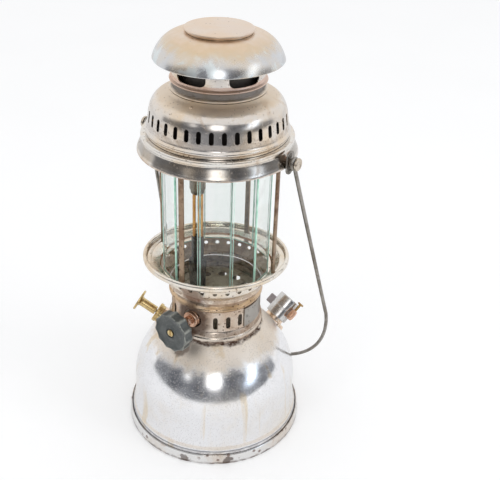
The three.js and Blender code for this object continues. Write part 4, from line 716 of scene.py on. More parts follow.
tank = dict(seamRadius=84.3, waistRadius=80.1, waistHeight=48.0, seatRadius=44.5, seatHeight=112.0,
            topHeight=119.0, foot=1.5, panHeight=10.7, flareEase=3.0, sheet=1.2, sides=224,
            shoulder=(0.35, 0.745, 0.58), dome=0.85, dentDepth=0.14)


def tankLine():
    share = np.linspace(0, 1, 18)[:-1]
    flare = (tank["seamRadius"] - tank["waistRadius"]) * (1 - share) ** tank["flareEase"]
    wall = np.stack([tank["waistRadius"] + flare,
                     tank["panHeight"] + share * (tank["waistHeight"] - tank["panHeight"])], 1)
    t = np.linspace(0, 1, 40)[:, None]
    rise = tank["seatHeight"] - tank["waistHeight"]
    low, high, out = tank["shoulder"]
    corners = [np.array([tank["waistRadius"], tank["waistHeight"]]),
               np.array([tank["waistRadius"], tank["waistHeight"] + low * rise]),
               np.array([tank["seatRadius"] + out * (tank["waistRadius"] - tank["seatRadius"]),
                         tank["waistHeight"] + high * rise]),
               np.array([tank["seatRadius"], tank["seatHeight"]])]
    weights = [(1 - t) ** 3, 3 * t * (1 - t) ** 2, 3 * t ** 2 * (1 - t), t ** 3]
    shoulder = sum(weight * corner for weight, corner in zip(weights, corners))
    bend = np.array([tank["seatRadius"] * tank["dome"], tank["topHeight"]])
    end = np.array([0.0, tank["topHeight"]])
    u = np.linspace(0, 1, 14)[1:, None]
    dome = (1 - u) ** 2 * corners[-1] + 2 * u * (1 - u) * bend + u ** 2 * end
    return np.concatenate([[[tank["seamRadius"], tank["foot"]]], wall, shoulder, dome])


# The skin is a little uneven, as spun and soldered brass is: slow waves in azimuth and height.
def dented(surface, depth):
    points, faces = surface
    azimuth, height = np.arctan2(points[:, 0], -points[:, 1]), points[:, 2]
    wave = (np.sin(3 * azimuth + height / 19) * np.sin(height / 14 + 1) + 0.6 * np.sin(7 * azimuth - height / 11)
            + 0.4 * np.sin(11 * azimuth + 2) * np.sin(height / 8))
    radius = np.hypot(points[:, 0], points[:, 1])
    fade = np.clip((radius - 30) / 20, 0, 1) * np.clip((height - 12) / 15, 0, 1)
    swell = 1 - depth * fade * (1.2 + wave) / 3 / np.maximum(radius, 1)
    return np.column_stack([points[:, 0] * swell, points[:, 1] * swell, height]), faces


skin = tankLine()
inside = skin - lineNormals(skin) * tank["sheet"]
inside[-1, 0] = 0
tankSkin = addPiece("tank_skin", [dented(turned(np.concatenate([skin, inside[::-1]]), tank["sides"]),
                                        tank["dentDepth"])], tankFinish, "lantern_body", ["tank_shell"])

# The pump's barrel passes through the shoulder: the opening's edge lies within the barrel's wall, and leaves the
# piston room.
pumpSeat = aim(-107.1, 61.1, 62.0, 105.0)
pumpOpening = dict(radius=7.9, low=-45, high=12, sides=64)
boreThrough(tankSkin, spun([(0, pumpOpening["low"]), (pumpOpening["radius"], pumpOpening["low"]),
                            (pumpOpening["radius"], pumpOpening["high"]), (0, pumpOpening["high"])],
                           pumpOpening["sides"]), pumpSeat)

pan = dict(sides=192, corners=[(0, 5), (68.5, 5, 2), (77.2, 0.2, 1.6), (86.3, 0, 0.8), (87, 0.9, 0.7), (86.35, 6.2, 1),
                               (86.1, 9.9, 0.5), (85.5, 10.7, 0.4), (84.9, 10.3, 0.3), (84.8, 8.6), (84.8, 1.9, 0.6),
                               (78.4, 1.3, 1), (69.2, 6.2, 2), (0, 6.2)])
addPiece("foot_pan", [turned(easedLine(pan["corners"]), pan["sides"])], panFinish, "lantern_body",
         ["base_pan"])
print("tank and pan done")


# Collar, gallery and burner plate

collar = dict(sheet=1.0, slotCount=19, slotSpan=296, slot=(134.5, 4.3, 13.0, 2.14), band=(126.1, 146.3),
              across=8, upwards=10, spindleHole=(329, 136, 18.6, 18.6, 9.3),
              corners=[(44.9, 112.9, 0.4), (45.37, 114.2, 0.8), (45.37, 118.2, 1.1), (44.3, 119.5, 0.7),
                       (44.9, 121.4, 0.8), (43.1, 123.4, 0.9), (42.2, 125.3, 0.7), (42.2, 147, 1.2),
                       (44.82, 149, 1.3), (44.82, 151.2, 1.3), (42.3, 153.4, 1.2), (42.2, 158)])


def slotSectors(count, pitch, start, hole, across):
    return [dict(start=start + (i - 0.5) * pitch, end=start + (i + 0.5) * pitch, across=across,
                 hole=(start + i * pitch, *hole)) for i in range(count)]


slotPitch = collar["slotSpan"] / (collar["slotCount"] - 1)
collarSectors = slotSectors(collar["slotCount"], slotPitch, 0, collar["slot"], collar["across"])
lastEnd, firstStart = collarSectors[-1]["end"], 360 - slotPitch / 2
spindleAzimuth = collar["spindleHole"][0]
holeStart = 2 * spindleAzimuth - firstStart
collarSectors.append(dict(start=lastEnd, end=holeStart, across=1))
collarSectors.append(dict(start=holeStart, end=firstStart, across=16, hole=collar["spindleHole"]))
addPiece("collar_wall", [piercedSheet(easedLine(collar["corners"]), collar["sheet"], collarSectors, *collar["band"],
                                      upwards=collar["upwards"])],
         [collarFinish, sheetLining], "lantern_body", ["collar"], lining=160)

door = dict(inner=42.5, outer=43.3, low=125.3, high=145.3, start=39, end=131, eyeletAzimuth=43.6, eyeletHeight=136.0,
            eyelet=[(0.75, -0.1), (1.7, -0.1), (1.7, 0.3, 0.3), (1.2, 0.55, 0.3), (0.75, 0.3, 0.2)])
doorLine = easedLine([(door["inner"], door["low"]), (door["outer"], door["low"], 0.3),
                      (door["outer"], door["high"], 0.3), (door["inner"], door["high"])], steps=4)
eyelet = seated(spun(door["eyelet"], 28, closed=True),
                aim(door["eyeletAzimuth"], 90, door["outer"], door["eyeletHeight"]))
addPiece("collar_door_plate", [turnedPart(doorLine, door["start"], door["end"], 48), eyelet], doorFinish,
         "lantern_body", ["collar_door"])

gallery = dict(sheet=1.0, holeCount=28, phase=-1, hole=(170.7, 3.9, 3.9, 1.95), band=(167.6, 173.8), across=8,
               upwards=6, ledge=(46.6, 50.4, 173.6, 174.8), ledgeGrowth=2.2, leanFrom=158.5, leanFull=176.0, lean=3.8,
               corners=[(42.4, 158.4, 0.2), (45.8, 158.4, 0.7), (46.0, 160.2, 0.7), (45.6, 161.6, 0.7),
                        (47.0, 163.6, 1.2), (49.9, 167.0, 1.5), (51.6, 173.4, 2.5), (55.2, 177.4, 3),
                        (58.6, 180.7, 1.5), (60.6, 182.6, 1.0), (64.6, 182.9, 1.0), (66.4, 181.6, 0.9),
                        (68.28, 182.9, 1.6),
                        (68.28, 186.3, 1.6), (66.7, 187.98, 1.4), (65.0, 187.3, 0.9), (64.7, 186.3)])
gallerySectors = slotSectors(gallery["holeCount"], 360 / gallery["holeCount"], gallery["phase"], gallery["hole"],
                             gallery["across"])


# The old cup leans: above the collar its front is bent up and its back down, z += share * tan(lean) * -y.
def leaning(surface):
    points, faces = surface
    share = np.clip((points[:, 2] - gallery["leanFrom"]) / (gallery["leanFull"] - gallery["leanFrom"]), 0, 1)
    rise = share ** 2 * (3 - 2 * share) * math.tan(math.radians(gallery["lean"])) * -points[:, 1]
    return points + rise[:, None] * np.array([0, 0, 1]), faces


inner, outer, low, high = gallery["ledge"]
ledgeLoop = easedLine([(inner, low), (outer, low), (outer, high), (inner, high, 0.4)], closed=True)
points, faces = turned(ledgeLoop, 128)
reach = np.hypot(points[:, 0], points[:, 1])
widened = reach + gallery["ledgeGrowth"] * (1 + points[:, 1] / reach) * (reach > (inner + outer) / 2)
ledge = np.column_stack([points[:, :2] * (widened / reach)[:, None], points[:, 2]]), faces
addPiece("gallery_cup", [leaning(piercedSheet(easedLine(gallery["corners"]), gallery["sheet"], gallerySectors,
                                              *gallery["band"], upwards=gallery["upwards"])), ledge],
         [galleryFinish, cupLining], "lantern_body", ["gallery"], lining=176)

plate = dict(low=145.0, high=146.2, radius=40.4, holeRing=29.0, holeSize=9.0, firstHole=18, holeCount=10,
             blockAzimuth=-31.43, blockReach=31.64, blockSize=17.2, centre=4.0)
plateLine = easedLine([(plate["centre"], plate["low"]), (14, plate["low"]), (plate["radius"] - 0.3, plate["low"]),
                       (plate["radius"], plate["low"] + 0.2)])
plateSectors = slotSectors(plate["holeCount"], 30, plate["firstHole"],
                           (plate["holeRing"], plate["holeSize"], plate["holeSize"], plate["holeSize"] / 2), 8)
plateSectors.append(dict(start=plateSectors[-1]["end"], end=363, across=16,
                         hole=(plate["blockAzimuth"] + 360, plate["blockReach"], plate["blockSize"], plate["blockSize"],
                               plate["blockSize"] / 2)))
hub = turned(easedLine([(0, plate["low"]), (plate["centre"], plate["low"]), (plate["centre"], plate["high"]),
                        (2, plate["high"] + 0.7, 1), (0, plate["high"] + 0.7)]), 48)
addPiece("burner_floor", [piercedSheet(plateLine, -1.2, plateSectors, 22.0, 40.3, flat=True, upwards=8), hub],
         wellFinish, "lantern_body", ["burner_plate"])
print("collar, gallery and burner plate done")


# Frame: uprights, top ring, ears

uprights = dict(radius=59.5, width=5.0, depth=2.4, corner=0.9, foot=182.3, high=303.7, ease=0.4, sharp=12,
                azimuths=dict(front=-30, right=60, back=150, left=240))
for side, azimuth in uprights["azimuths"].items():
    outline = ovalOutline(uprights["width"], uprights["depth"], uprights["corner"], 5)
    forward = uprights["radius"] * math.cos(math.radians(azimuth))
    foot = uprights["foot"] + math.tan(math.radians(gallery["lean"])) * forward
    bar = shifted(prism(outline, easedRows(foot, uprights["high"], uprights["ease"])), 0, -uprights["radius"], 0)
    addPiece("upright_bar_" + side, [bar], uprightFinish, "lantern_body", ["upright_" + side],
             seat=Matrix.Rotation(math.radians(azimuth), 4, "Z"), sharp=uprights["sharp"])

topRing = dict(
    sheet=1.0, sides=192, flange=[(44.0, 304.0), (64.6, 304.0), (64.6, 305.3), (44.0, 305.3)], flangeSides=96,
    corners=[(69.1, 293.6, 0.3), (70, 294.2, 0.5), (69.75, 295.6, 0.6), (68.6, 298.3, 2.5), (66.3, 303.3, 2),
             (65.7, 305.2, 0.6), (66.43, 306.4, 0.6), (66.43, 308.8, 0.7), (65.3, 309.55, 0.5), (59.85, 309.55)])
addPiece("top_ring_skirt", [turned(sheetLoop(easedLine(topRing["corners"]), topRing["sheet"]), topRing["sides"]),
                            spun(topRing["flange"], topRing["flangeSides"], closed=True)],
         ringFinish, "lantern_body", ["frame_top_ring"])

ears = dict(
    azimuth=57.4, height=298.2, width=12.4, tall=21.0, plateFoot=70.3, plateTop=71.9, ease=0.45, rivetReach=7.2,
    sharp=12,
    rivet=[(0, 0), (1.5, 0), (1.45, 0.5, 0.4), (0.8, 0.8, 0.4), (0, 0.85)],
    stud=[(0, 62.0), (4.2, 62.0, 0.3), (4.2, 64.4, 0.3), (2, 64.4), (2, 72.2), (3.6, 72.2, 0.2), (3.6, 73.0, 0.2),
          (2, 73.0), (2, 77.3), (5.3, 77.3, 0.4), (5.6, 77.9, 0.4), (5.6, 79.2, 0.6), (4.9, 80.1, 0.5),
          (3.2, 80.3, 0.3), (2.8, 79.9, 0.2), (1.2, 79.9, 0.2), (0.9, 80.25, 0.2), (0, 80.3)])
for turn, side in enumerate(["right", "left"]):
    seat = aim(ears["azimuth"] + 180 * turn, 90, 0, ears["height"])
    blank = prism(ovalOutline(ears["width"], ears["tall"], ears["width"] / 2 - 0.01, 14),
                  easedRows(ears["plateFoot"], ears["plateTop"], ears["ease"]))
    rivets = [shifted(spun(ears["rivet"], 24), 0, height, ears["plateTop"])
              for height in (-ears["rivetReach"], ears["rivetReach"])]
    addPiece("ear_blank_" + side, [blank, *rivets], steelFinish, "lantern_body", ["ear_plate_" + side],
             seat=seat, sharp=ears["sharp"])
    addPiece("ear_stud_" + side, [spun(ears["stud"], 48)], pinFinish, "lantern_body",
             ["ear_pin_" + side], seat=seat)
print("frame done")


# Glass strips

glass = dict(count=12, phase=-1, thickness=2.2, distance=47.39, width=24.5, low=175.1, high=303.7, frontDistance=49.5,
             frontWidth=31.2, frontLow=180.3, corner=0.35, ease=0.3, edgeWidth=0.45, edgeFoot=0.25, sharp=10)
for i in range(glass["count"]):
    atFront = i == 0
    width = glass["frontWidth"] if atFront else glass["width"]
    distance = glass["frontDistance"] if atFront else glass["distance"]
    low = glass["frontLow"] if atFront else glass["low"]
    outline = ovalOutline(width, glass["thickness"], glass["corner"], 3)
    points, faces = shifted(prism(outline, easedRows(low, glass["high"], glass["ease"], 3)), 0, -distance, 0)
    middles = points[faces].mean(1)
    seam = (np.abs(middles[:, 0]) > width / 2 - glass["edgeWidth"]) | (middles[:, 2] < low + glass["edgeFoot"])
    spin = Matrix.Rotation(math.radians(glass["phase"] + i * 360 / glass["count"]), 4, "Z")
    addPiece(f"glass_pane_{i + 1}", [(points, faces[~seam]), (points, faces[seam])], [paneFinish, edgeFinish],
             "lantern_body", [f"glass_strip_{i + 1}"], seat=spin, extra=[0, 1], sharp=glass["sharp"])
print("glass done")


# Hood

drum = dict(sheet=1.0, slotCount=36, slot=(326.7, 4.0, 10.6, 1.99), band=(319.9, 333.4), across=8, upwards=8,
            corners=[(61.3, 309.95, 0.3), (61.4, 311.6, 0.8), (62.6, 313.0, 0.8), (62.6, 314.6, 0.9),
                     (61.2, 315.7, 0.8), (60.5, 317.2, 0.9), (60.3, 319.2, 0.4), (58.4, 333.8, 4.2), (54.3, 341.0, 5.0),
                     (46.8, 345.2, 3.5), (43.0, 347.0, 1.5), (40.9, 348.6)])
drumSectors = slotSectors(drum["slotCount"], 360 / drum["slotCount"], 180 / drum["slotCount"], drum["slot"],
                          drum["across"])
drumRivet = seated(spun([(0, -0.3), (1.5, -0.3), (1.5, 0.4, 0.3), (0.9, 0.8, 0.3), (0, 0.85)], 24),
                   aim(-28.5, 25, 46.0, 345.4))
addPiece("hood_drum_wall", [piercedSheet(easedLine(drum["corners"]), drum["sheet"], drumSectors, *drum["band"],
                                         upwards=drum["upwards"]), drumRivet],
         [hoodFinish, sheetLining], "hood", ["hood_drum"], lining=400)

neck = dict(sheet=1.0, windowCount=5, window=(371.8, 29.5, 22.5, 5.0), phase=34.5, band=(360.1, 383.6), across=16,
            upwards=12,
            corners=[(38.9, 349.0, 0.1), (41.1, 349.0, 0.5), (41.4, 350.4, 0.6), (38.7, 351.5, 0.7), (38.6, 355.7, 0.7),
                     (41.0, 356.6, 0.7), (41.5, 357.6, 0.6), (39.3, 359.0, 0.7), (38.93, 359.9, 0.2), (38.93, 391)])
neckSectors = slotSectors(neck["windowCount"], 360 / neck["windowCount"], neck["phase"], neck["window"], neck["across"])
addPiece("hood_neck_wall", [piercedSheet(easedLine(neck["corners"]), neck["sheet"], neckSectors, *neck["band"],
                                         upwards=neck["upwards"], rings=6)],
         [hoodFinish, sheetLining], "hood", ["hood_neck"], lining=400)

# The lid's outer line is a parabola from the lip, where it leans in at once, to the flat round the cap.
lid = dict(lip=(55.0, 374.7), bend=(48.5, 394.6), shoulder=(27.4, 395.7), edge=(54.6, 374.0), hole=17.0, sheet=1.0,
           sides=192)
share = np.linspace(0, 1, 40)[:, None]
lidArc = (1 - share) ** 2 * lid["lip"] + 2 * share * (1 - share) * np.array(lid["bend"]) + share ** 2 * lid["shoulder"]
lidLine = np.concatenate([[lid["edge"]], lidArc, [[lid["hole"], lid["shoulder"][1]]]])
addPiece("hood_lid_dome", [dented(turned(sheetLoop(lidLine, lid["sheet"]), lid["sides"]), 0.08)], lidFinish, "hood",
         ["hood_lid"])

cap = dict(sides=128, corners=[(0, 396.0), (27.4, 396.0), (27.5, 396.9, 0.3), (28.6, 397.2, 0.4), (28.9, 397.7, 0.3),
                               (28.88, 398.8, 0.4), (28.0, 399.3, 0.7), (22.0, 399.5, 3), (12.0, 399.85, 3), (0, 400)])
addPiece("hood_cap_disc", [turned(easedLine(cap["corners"]), cap["sides"])], lidFinish, "hood",
         ["hood_cap"])

casing = dict(
    sides=96, bridge=(80.4, 20, 1.0), bridgeRows=(306.1, 307.1, 0.2),
    corners=[(57.4, 305.6), (57.4, 306.6), (41, 306.6, 0.8), (41, 341.6, 1.5), (33, 349.6, 1.5), (33, 353), (37.3, 353),
             (37.3, 354), (33, 354), (33, 370), (32, 370), (32, 349.2, 1), (40, 341.2, 1), (40, 305.6)])
towardsNeedle = Matrix.Rotation(math.atan2(needleY, needleX), 4, "Z")
bridge = prism(ovalOutline(*casing["bridge"], 3), easedRows(*casing["bridgeRows"]))
addPiece("chimney_casing", [spun(casing["corners"], casing["sides"], closed=True), seated(bridge, towardsNeedle)],
         casingFinish, "hood", ["inner_casing"])

mixing = dict(radius=7.0, wall=1.0, inlet=296.6, bendHeight=312.0, outlet=299.3, bendSteps=28, sides=28)
reach = math.hypot(needleX, needleY)
bend = np.linspace(0, math.pi, mixing["bendSteps"])
path = np.concatenate([[[reach, 0, mixing["inlet"]]],
                       np.stack([reach / 2 + reach / 2 * np.cos(bend), 0 * bend,
                                 mixing["bendHeight"] + reach / 2 * np.sin(bend)], 1),
                       [[0, 0, mixing["outlet"]]]])
along = np.gradient(path, axis=0)
along /= np.linalg.norm(along, axis=1)[:, None]
aside = np.cross(along, (0, 1, 0))
angle = np.arange(mixing["sides"]) / mixing["sides"] * fullTurn


# One wall of the bent tube: a circle square to the path at each of its points.
def bentRings(radius):
    return path[:, None] + radius * (aside[:, None] * np.cos(angle)[None, :, None]
                                     + np.array([0, 1, 0]) * np.sin(angle)[None, :, None])


tubeRings = np.concatenate([bentRings(mixing["radius"]), bentRings(mixing["radius"] - mixing["wall"])[::-1]])
addPiece("mixing_bend", [(tubeRings.reshape(-1, 3), gridFaces(len(tubeRings), mixing["sides"], True, True))],
         innerFinish, "hood", ["mixing_tube"], seat=towardsNeedle)

nozzle = dict(sides=72, corners=[(6, 277), (8.6, 277, 0.6), (9.6, 279.2, 0.8), (9.6, 286.2, 0.6), (8.4, 288, 0.6),
                                 (8.4, 290.2, 0.5), (12, 292, 0.8), (12, 295.9, 0.8), (9.6, 299, 0.6), (6, 299)])
addPiece("clay_nozzle", [spun(nozzle["corners"], nozzle["sides"], closed=True)], clayFinish, "hood",
         ["burner_nozzle"])
print("hood done")


# Vaporizer

vaporizer = dict(
    x=-16.5, y=needleY, besideX=2.8, bowlRadius=7.75, bowlSheet=0.9,
    block=[(0, 119.3), (8.3, 119.3, 0.4), (8.3, 149.4, 0.5), (7.8, 150, 0.3), (5.2, 150), (5.2, 219.2, 0.4),
           (4.8, 220, 0.3), (0, 220)],
    pickup=[(0, 12), (3.5, 12, 0.3), (3.5, 119.6), (0, 119.6)],
    bowl=[(6.5, 150.3), (6.62, 155), (7.6, 190.5), (8.0, 194.2, 0.4), (7.9, 195, 0.3)],
    riser=[(1.7, 220.3), (2.4, 220.3), (2.4, 262.7), (1.7, 262.7)],
    head=[(0, 263), (4.7, 263, 0.3), (5.8, 264.2, 0.4), (5.8, 265.6, 0.4), (5.2, 266.1, 0.2), (5.2, 266.8, 0.2),
          (6.7, 267.6, 0.5), (6.7, 280.0, 0.6), (5.8, 282, 0.6), (0, 282)],
    beside=[(0, 220.3), (1.4, 220.3), (1.4, 263.3), (0, 263.3)],
    jet=[(0.6, 282.3), (2.9, 282.3, 0.2), (2.9, 286.6, 0.3), (1.6, 289.9, 0.3), (1.2, 290.3, 0.1), (0.6, 290.3)])
x, y = vaporizer["x"], vaporizer["y"]
addPiece("vaporizer_block", [shifted(spun(vaporizer["block"], 64), x, y),
                             shifted(spun(vaporizer["pickup"], 32), needleX, y)],
         sootFinish, "lantern_body", ["vaporizer_body"])
bowlLine = easedLine(vaporizer["bowl"])
bowlLine[:, 0] = np.minimum(bowlLine[:, 0], vaporizer["bowlRadius"])
addPiece("preheat_bowl", [shifted(turned(sheetLoop(bowlLine, vaporizer["bowlSheet"]), 64), x, y)], sootFinish,
         "lantern_body", ["preheat_cup"])
addPiece("riser_tube", [shifted(spun(vaporizer["riser"], 32, closed=True), needleX, y)], tubeFinish, "lantern_body",
         ["vaporizer_tube"])
addPiece("vaporizer_crown", [shifted(spun(vaporizer["head"], 48), x, y),
                             shifted(spun(vaporizer["beside"], 24), x - vaporizer["besideX"], y)],
         [crownFinish, tubeFinish], "lantern_body", ["vaporizer_head"], extra=[0, 1])
addPiece("jet_nipple", [shifted(spun(vaporizer["jet"], 32, closed=True), needleX, y)], brassFinish, "lantern_body",
         ["jet"])
print("vaporizer done")


# Spindle and handwheel, along the spindle from the needle's axis

spindle = dict(
    azimuth=-39.4, height=136.0, hexRadius=4.6, hexRows=(15.9, 19.9, 0.35, 3), crankReach=1.5,
    boss=[(2, 7.3), (7.7, 7.3, 0.3), (7.7, 11.2, 0.3), (7.35, 11.5, 0.2), (7.7, 11.8, 0.3), (7.7, 14.5, 0.5),
          (7.1, 15.1, 0.4), (2, 15.1)],
    nutCollar=[(0, 15.4), (4.2, 15.4, 0.2), (4.2, 16.2, 0.2), (0, 16.2)],
    nutNose=[(0, 19.4), (3.5, 19.4), (3.3, 20.4, 0.3), (0, 20.4)],
    shaft=[(0, 3.2), (1.6, 3.2), (1.6, 39.1, 0.3), (1.2, 39.6, 0.2), (0, 39.6)],
    crank=[(0, 2.9), (2.3, 2.9, 0.2), (2.3, 3.5, 0.2), (0, 3.5)],
    crankPin=[(0, -0.8), (0.8, -0.8, 0.2), (0.8, 3.2), (0, 3.2)])
spindleSeat = (Matrix.Translation((needleX, needleY, spindle["height"]))
               @ Matrix.Rotation(math.radians(spindle["azimuth"]), 4, "Z") @ Matrix.Rotation(math.radians(90), 4, "X"))
addPiece("packing_boss", [spun(spindle["boss"], 64, closed=True)], copperFinish, "lantern_body",
         ["stuffing_box"], seat=spindleSeat)
hexAngle = np.arange(6) / 6 * fullTurn
hexagon = prism(spindle["hexRadius"] * np.stack([np.cos(hexAngle), np.sin(hexAngle)], 1),
                easedRows(*spindle["hexRows"]))
addPiece("gland_hexagon", [hexagon, spun(spindle["nutCollar"], 48), spun(spindle["nutNose"], 48)], copperFinish,
         "lantern_body", ["gland_nut"], seat=spindleSeat)

wheel = dict(radius=19.2, lobes=11, lobeDepth=1.5, lobePower=1.2, lobeFrom=17.4, sides=352, sharp=40,
             wearFrom=0.75, wearRise=0.6, wearFace=41.3, wearDepth=0.7, wearInner=16.8, ridgeWear=0.6, faceWear=0.8,
             corners=[(1.9, 31.8), (4.6, 31.8, 0.4), (4.6, 38.0, 0.5), (14.2, 38.0, 0.6), (14.2, 31.8, 0.5),
                      (19.2, 31.8, 1.0), (19.2, 41.8, 1.3), (17.3, 41.8, 1.2), (13.4, 40.8, 3), (8.2, 40.9, 2),
                      (6.0, 41.5, 0.8), (5.1, 41.5, 0.3), (4.9, 41.1, 0.3), (4.9, 40.4, 0.3), (1.9, 40.4)])
rim = spun(wheel["corners"], wheel["sides"], closed=True, fluteCount=wheel["lobes"], fluteDepth=wheel["lobeDepth"],
           fluteFrom=wheel["lobeFrom"], flutePower=wheel["lobePower"], hollow=True)
moulding = addPiece("handwheel_moulding", [rim], wheelFinish, "handwheel", ["handwheel"], seat=spindleSeat,
                    sharp=wheel["sharp"])

# Wear grows towards the ridges and the front edge of the rim: distance from the spindle's axis and from the face.
spots = np.zeros((len(moulding.data.vertices), 3))
moulding.data.vertices.foreach_get("co", spots.reshape(-1))
spots = (spots / millimetre - np.array(spindleSeat.translation)) @ np.array(spindleSeat.to_3x3())
reach = np.hypot(spots[:, 0], spots[:, 1])
ridge = np.clip((reach - wheel["radius"] + wheel["wearFrom"]) / wheel["wearRise"], 0, 1)
face = (np.clip(1 - np.abs(spots[:, 2] - wheel["wearFace"]) / wheel["wearDepth"], 0, 1)
        * (reach > wheel["wearInner"]))
wear = np.maximum(ridge * wheel["ridgeWear"], face * wheel["faceWear"])
moulding.data.attributes.new("wear", "FLOAT", "POINT").data.foreach_set("value", wear)

addPiece("spindle_shaft", [spun(spindle["shaft"], 32), spun(spindle["crank"], 32),
                           shifted(spun(spindle["crankPin"], 20), spindle["crankReach"])],
         brassFinish, "handwheel", ["spindle"], seat=spindleSeat)

screw = dict(radius=3.3, shank=0.9, foot=36.4, low=40.7, high=41.9, slot=0.55, slotFloor=41.2, overlap=0.05)
halfAngle = math.asin(screw["slot"] / screw["radius"])
arc = np.linspace(-math.pi / 2 + halfAngle, math.pi / 2 - halfAngle, 22)
halfDisc = screw["radius"] * np.stack([np.cos(arc), np.sin(arc)], 1)
screwRows = easedRows(screw["slotFloor"] - screw["overlap"], screw["high"], 0.3, 3)
screwBase = spun([(0, screw["foot"]), (screw["shank"], screw["foot"], 0.2), (screw["shank"], screw["low"]),
                  (screw["radius"], screw["low"], 0.2), (screw["radius"], screw["slotFloor"]), (0, screw["slotFloor"])],
                 40)
addPiece("slotted_screw", [prism(halfDisc, screwRows), prism(-halfDisc, screwRows), screwBase], brassFinish,
         "handwheel", ["wheel_screw"], seat=spindleSeat)
print("spindle and handwheel done")


# Pump

pump = dict(
    coverFlutes=dict(fluteCount=30, fluteDepth=0.22, fluteFrom=9.7),
    knobFlutes=dict(fluteCount=48, fluteDepth=0.2, fluteFrom=10.6),
    cover=[(2.2, -1.6), (8.5, -1.6), (8.5, -6), (9.1, -6, 0.2), (9.1, -3.5, 0.2), (9.9, -3.3, 0.2), (9.9, -0.7, 0.5),
           (9.2, 0, 0.4), (4.6, 0, 0.3), (4.0, 0.0), (2.2, 0)],
    barrel=[(0, -105.9), (7.6, -105.9, 0.5), (8.4, -105.2, 0.4), (8.4, -40), (9.0, -39, 0.5), (9.0, -6.4, 0.3),
            (8.4, -6.1, 0.2), (8.4, -2.2, 0.2), (7.4, -2.2), (7.4, -104.9), (0, -104.9)],
    rod=[(0, -88), (1.8, -88, 0.3), (1.8, 8.5), (0, 8.5)],
    knob=[(0, 0.8), (4.4, 0.8, 0.3), (4.4, 17.4, 0.8), (5.4, 18.8, 0.8), (10.2, 19.0, 0.5), (10.9, 19.5, 0.3),
          (10.9, 20.8, 0.4), (10.3, 21.3, 0.4), (3, 21.1, 1), (0, 21.1)])
addPiece("pump_cover", [spun(pump["cover"], 120, closed=True, **pump["coverFlutes"])], brassFinish, "lantern_body",
         ["pump_cap"], seat=pumpSeat)
addPiece("pump_cylinder", [spun(pump["barrel"], 64)], peachFinish, "lantern_body", ["pump_barrel"],
         seat=pumpSeat)
addPiece("pump_pushrod", [spun(pump["rod"], 32)], steelFinish, "pump_plunger", ["pump_rod"], seat=pumpSeat)
addPiece("pump_handle", [spun(pump["knob"], 144, **pump["knobFlutes"])], brassFinish, "pump_plunger",
         ["pump_knob"], seat=pumpSeat)
print("pump done")


# Filler cap, gauge and release screw. The thread is three ridges, one pitch apart; outletX is where the release
# screw and its elbow stand beside the cap.

filler = dict(
    pitch=1.85, ridges=3, outletX=-15.8, wingX=16.6, armX=-12.1, barReach=4.0, barRadius=1.0, barHeight=26.0,
    flange=[(8.4, -13.4), (16.5, -13.4), (14.9, -7.0, 2.5), (14.2, -3.9, 0.5), (13.2, -3.3, 0.5), (10.2, -3.3, 0.4)],
    neckTop=[(9.7, 5.55, 0.2), (9.7, 7.4, 0.2), (8.4, 7.4, 0.2)],
    cap=[(0, 9.6), (10.4, 9.6), (10.4, 0), (11.6, 0, 0.2), (12.0, 0.5, 0.3), (12.0, 10.9, 0.2), (11.6, 11.25, 0.2),
         (11.6, 11.75, 0.2), (12.0, 12.1, 0.2), (12.0, 23.1, 0.5), (11.4, 24, 0.5), (10.2, 24, 0.3), (10.2, 20.8),
         (0, 20.8)],
    wing=(12.4, 7.0, 2.2, 6), wingRows=(6, 16, 1.1), arm=(4.2, 3.6, 0.8, 4), armRows=(8.3, 15.5, 0.6),
    elbow=[(0, 6.2), (2.16, 6.2, 0.4), (3.24, 7.4, 0.6), (3.6, 9.1, 0.6), (3.6, 14.2, 0.8), (2.9, 17.1, 0.5),
           (2.4, 17.6, 0.3), (0, 17.6)],
    stem=[(0, 10.1), (1.35, 10.1), (1.35, 25.2, 0.3), (1.0, 26.3, 0.3), (0, 26.5)])
fillerSeat = aim(121.1, 49.7, 72.8, 86.5)
ridgeFeet = [filler["pitch"] * i for i in range(filler["ridges"])]
ridges = [corner for foot in ridgeFeet for corner in ((9.7, foot, 0.2), (10.0, foot + 0.92, 0.25))]
addPiece("filler_thread", [spun(filler["flange"] + ridges + filler["neckTop"], 96, closed=True)], peachFinish,
         "lantern_body", ["filler_neck"], seat=fillerSeat)
wing = shifted(prism(ovalOutline(*filler["wing"]), easedRows(*filler["wingRows"])), filler["wingX"])
arm = shifted(prism(ovalOutline(*filler["arm"]), easedRows(*filler["armRows"])), filler["armX"])
addPiece("filler_capsule", [spun(filler["cap"], 96), wing, arm], [capFinish, wingFinish], "filler_cap",
         ["filler_cap"], seat=fillerSeat, extra=[0, 1, 0])
addPiece("elbow_outlet", [shifted(spun(filler["elbow"], 40), filler["outletX"])], elbowFinish, "filler_cap",
         ["release_elbow"], seat=fillerSeat)
barShare = np.linspace(-filler["barReach"], filler["barReach"], 12)
bar = carried(np.stack([np.zeros(12), barShare, np.full(12, filler["barHeight"])], 1), filler["barRadius"], (1, 0, 0))
addPiece("release_tee", [shifted(spun(filler["stem"], 24), filler["outletX"]), shifted(bar, filler["outletX"])],
         screwFinish, "release_screw", ["release_screw"], seat=fillerSeat)

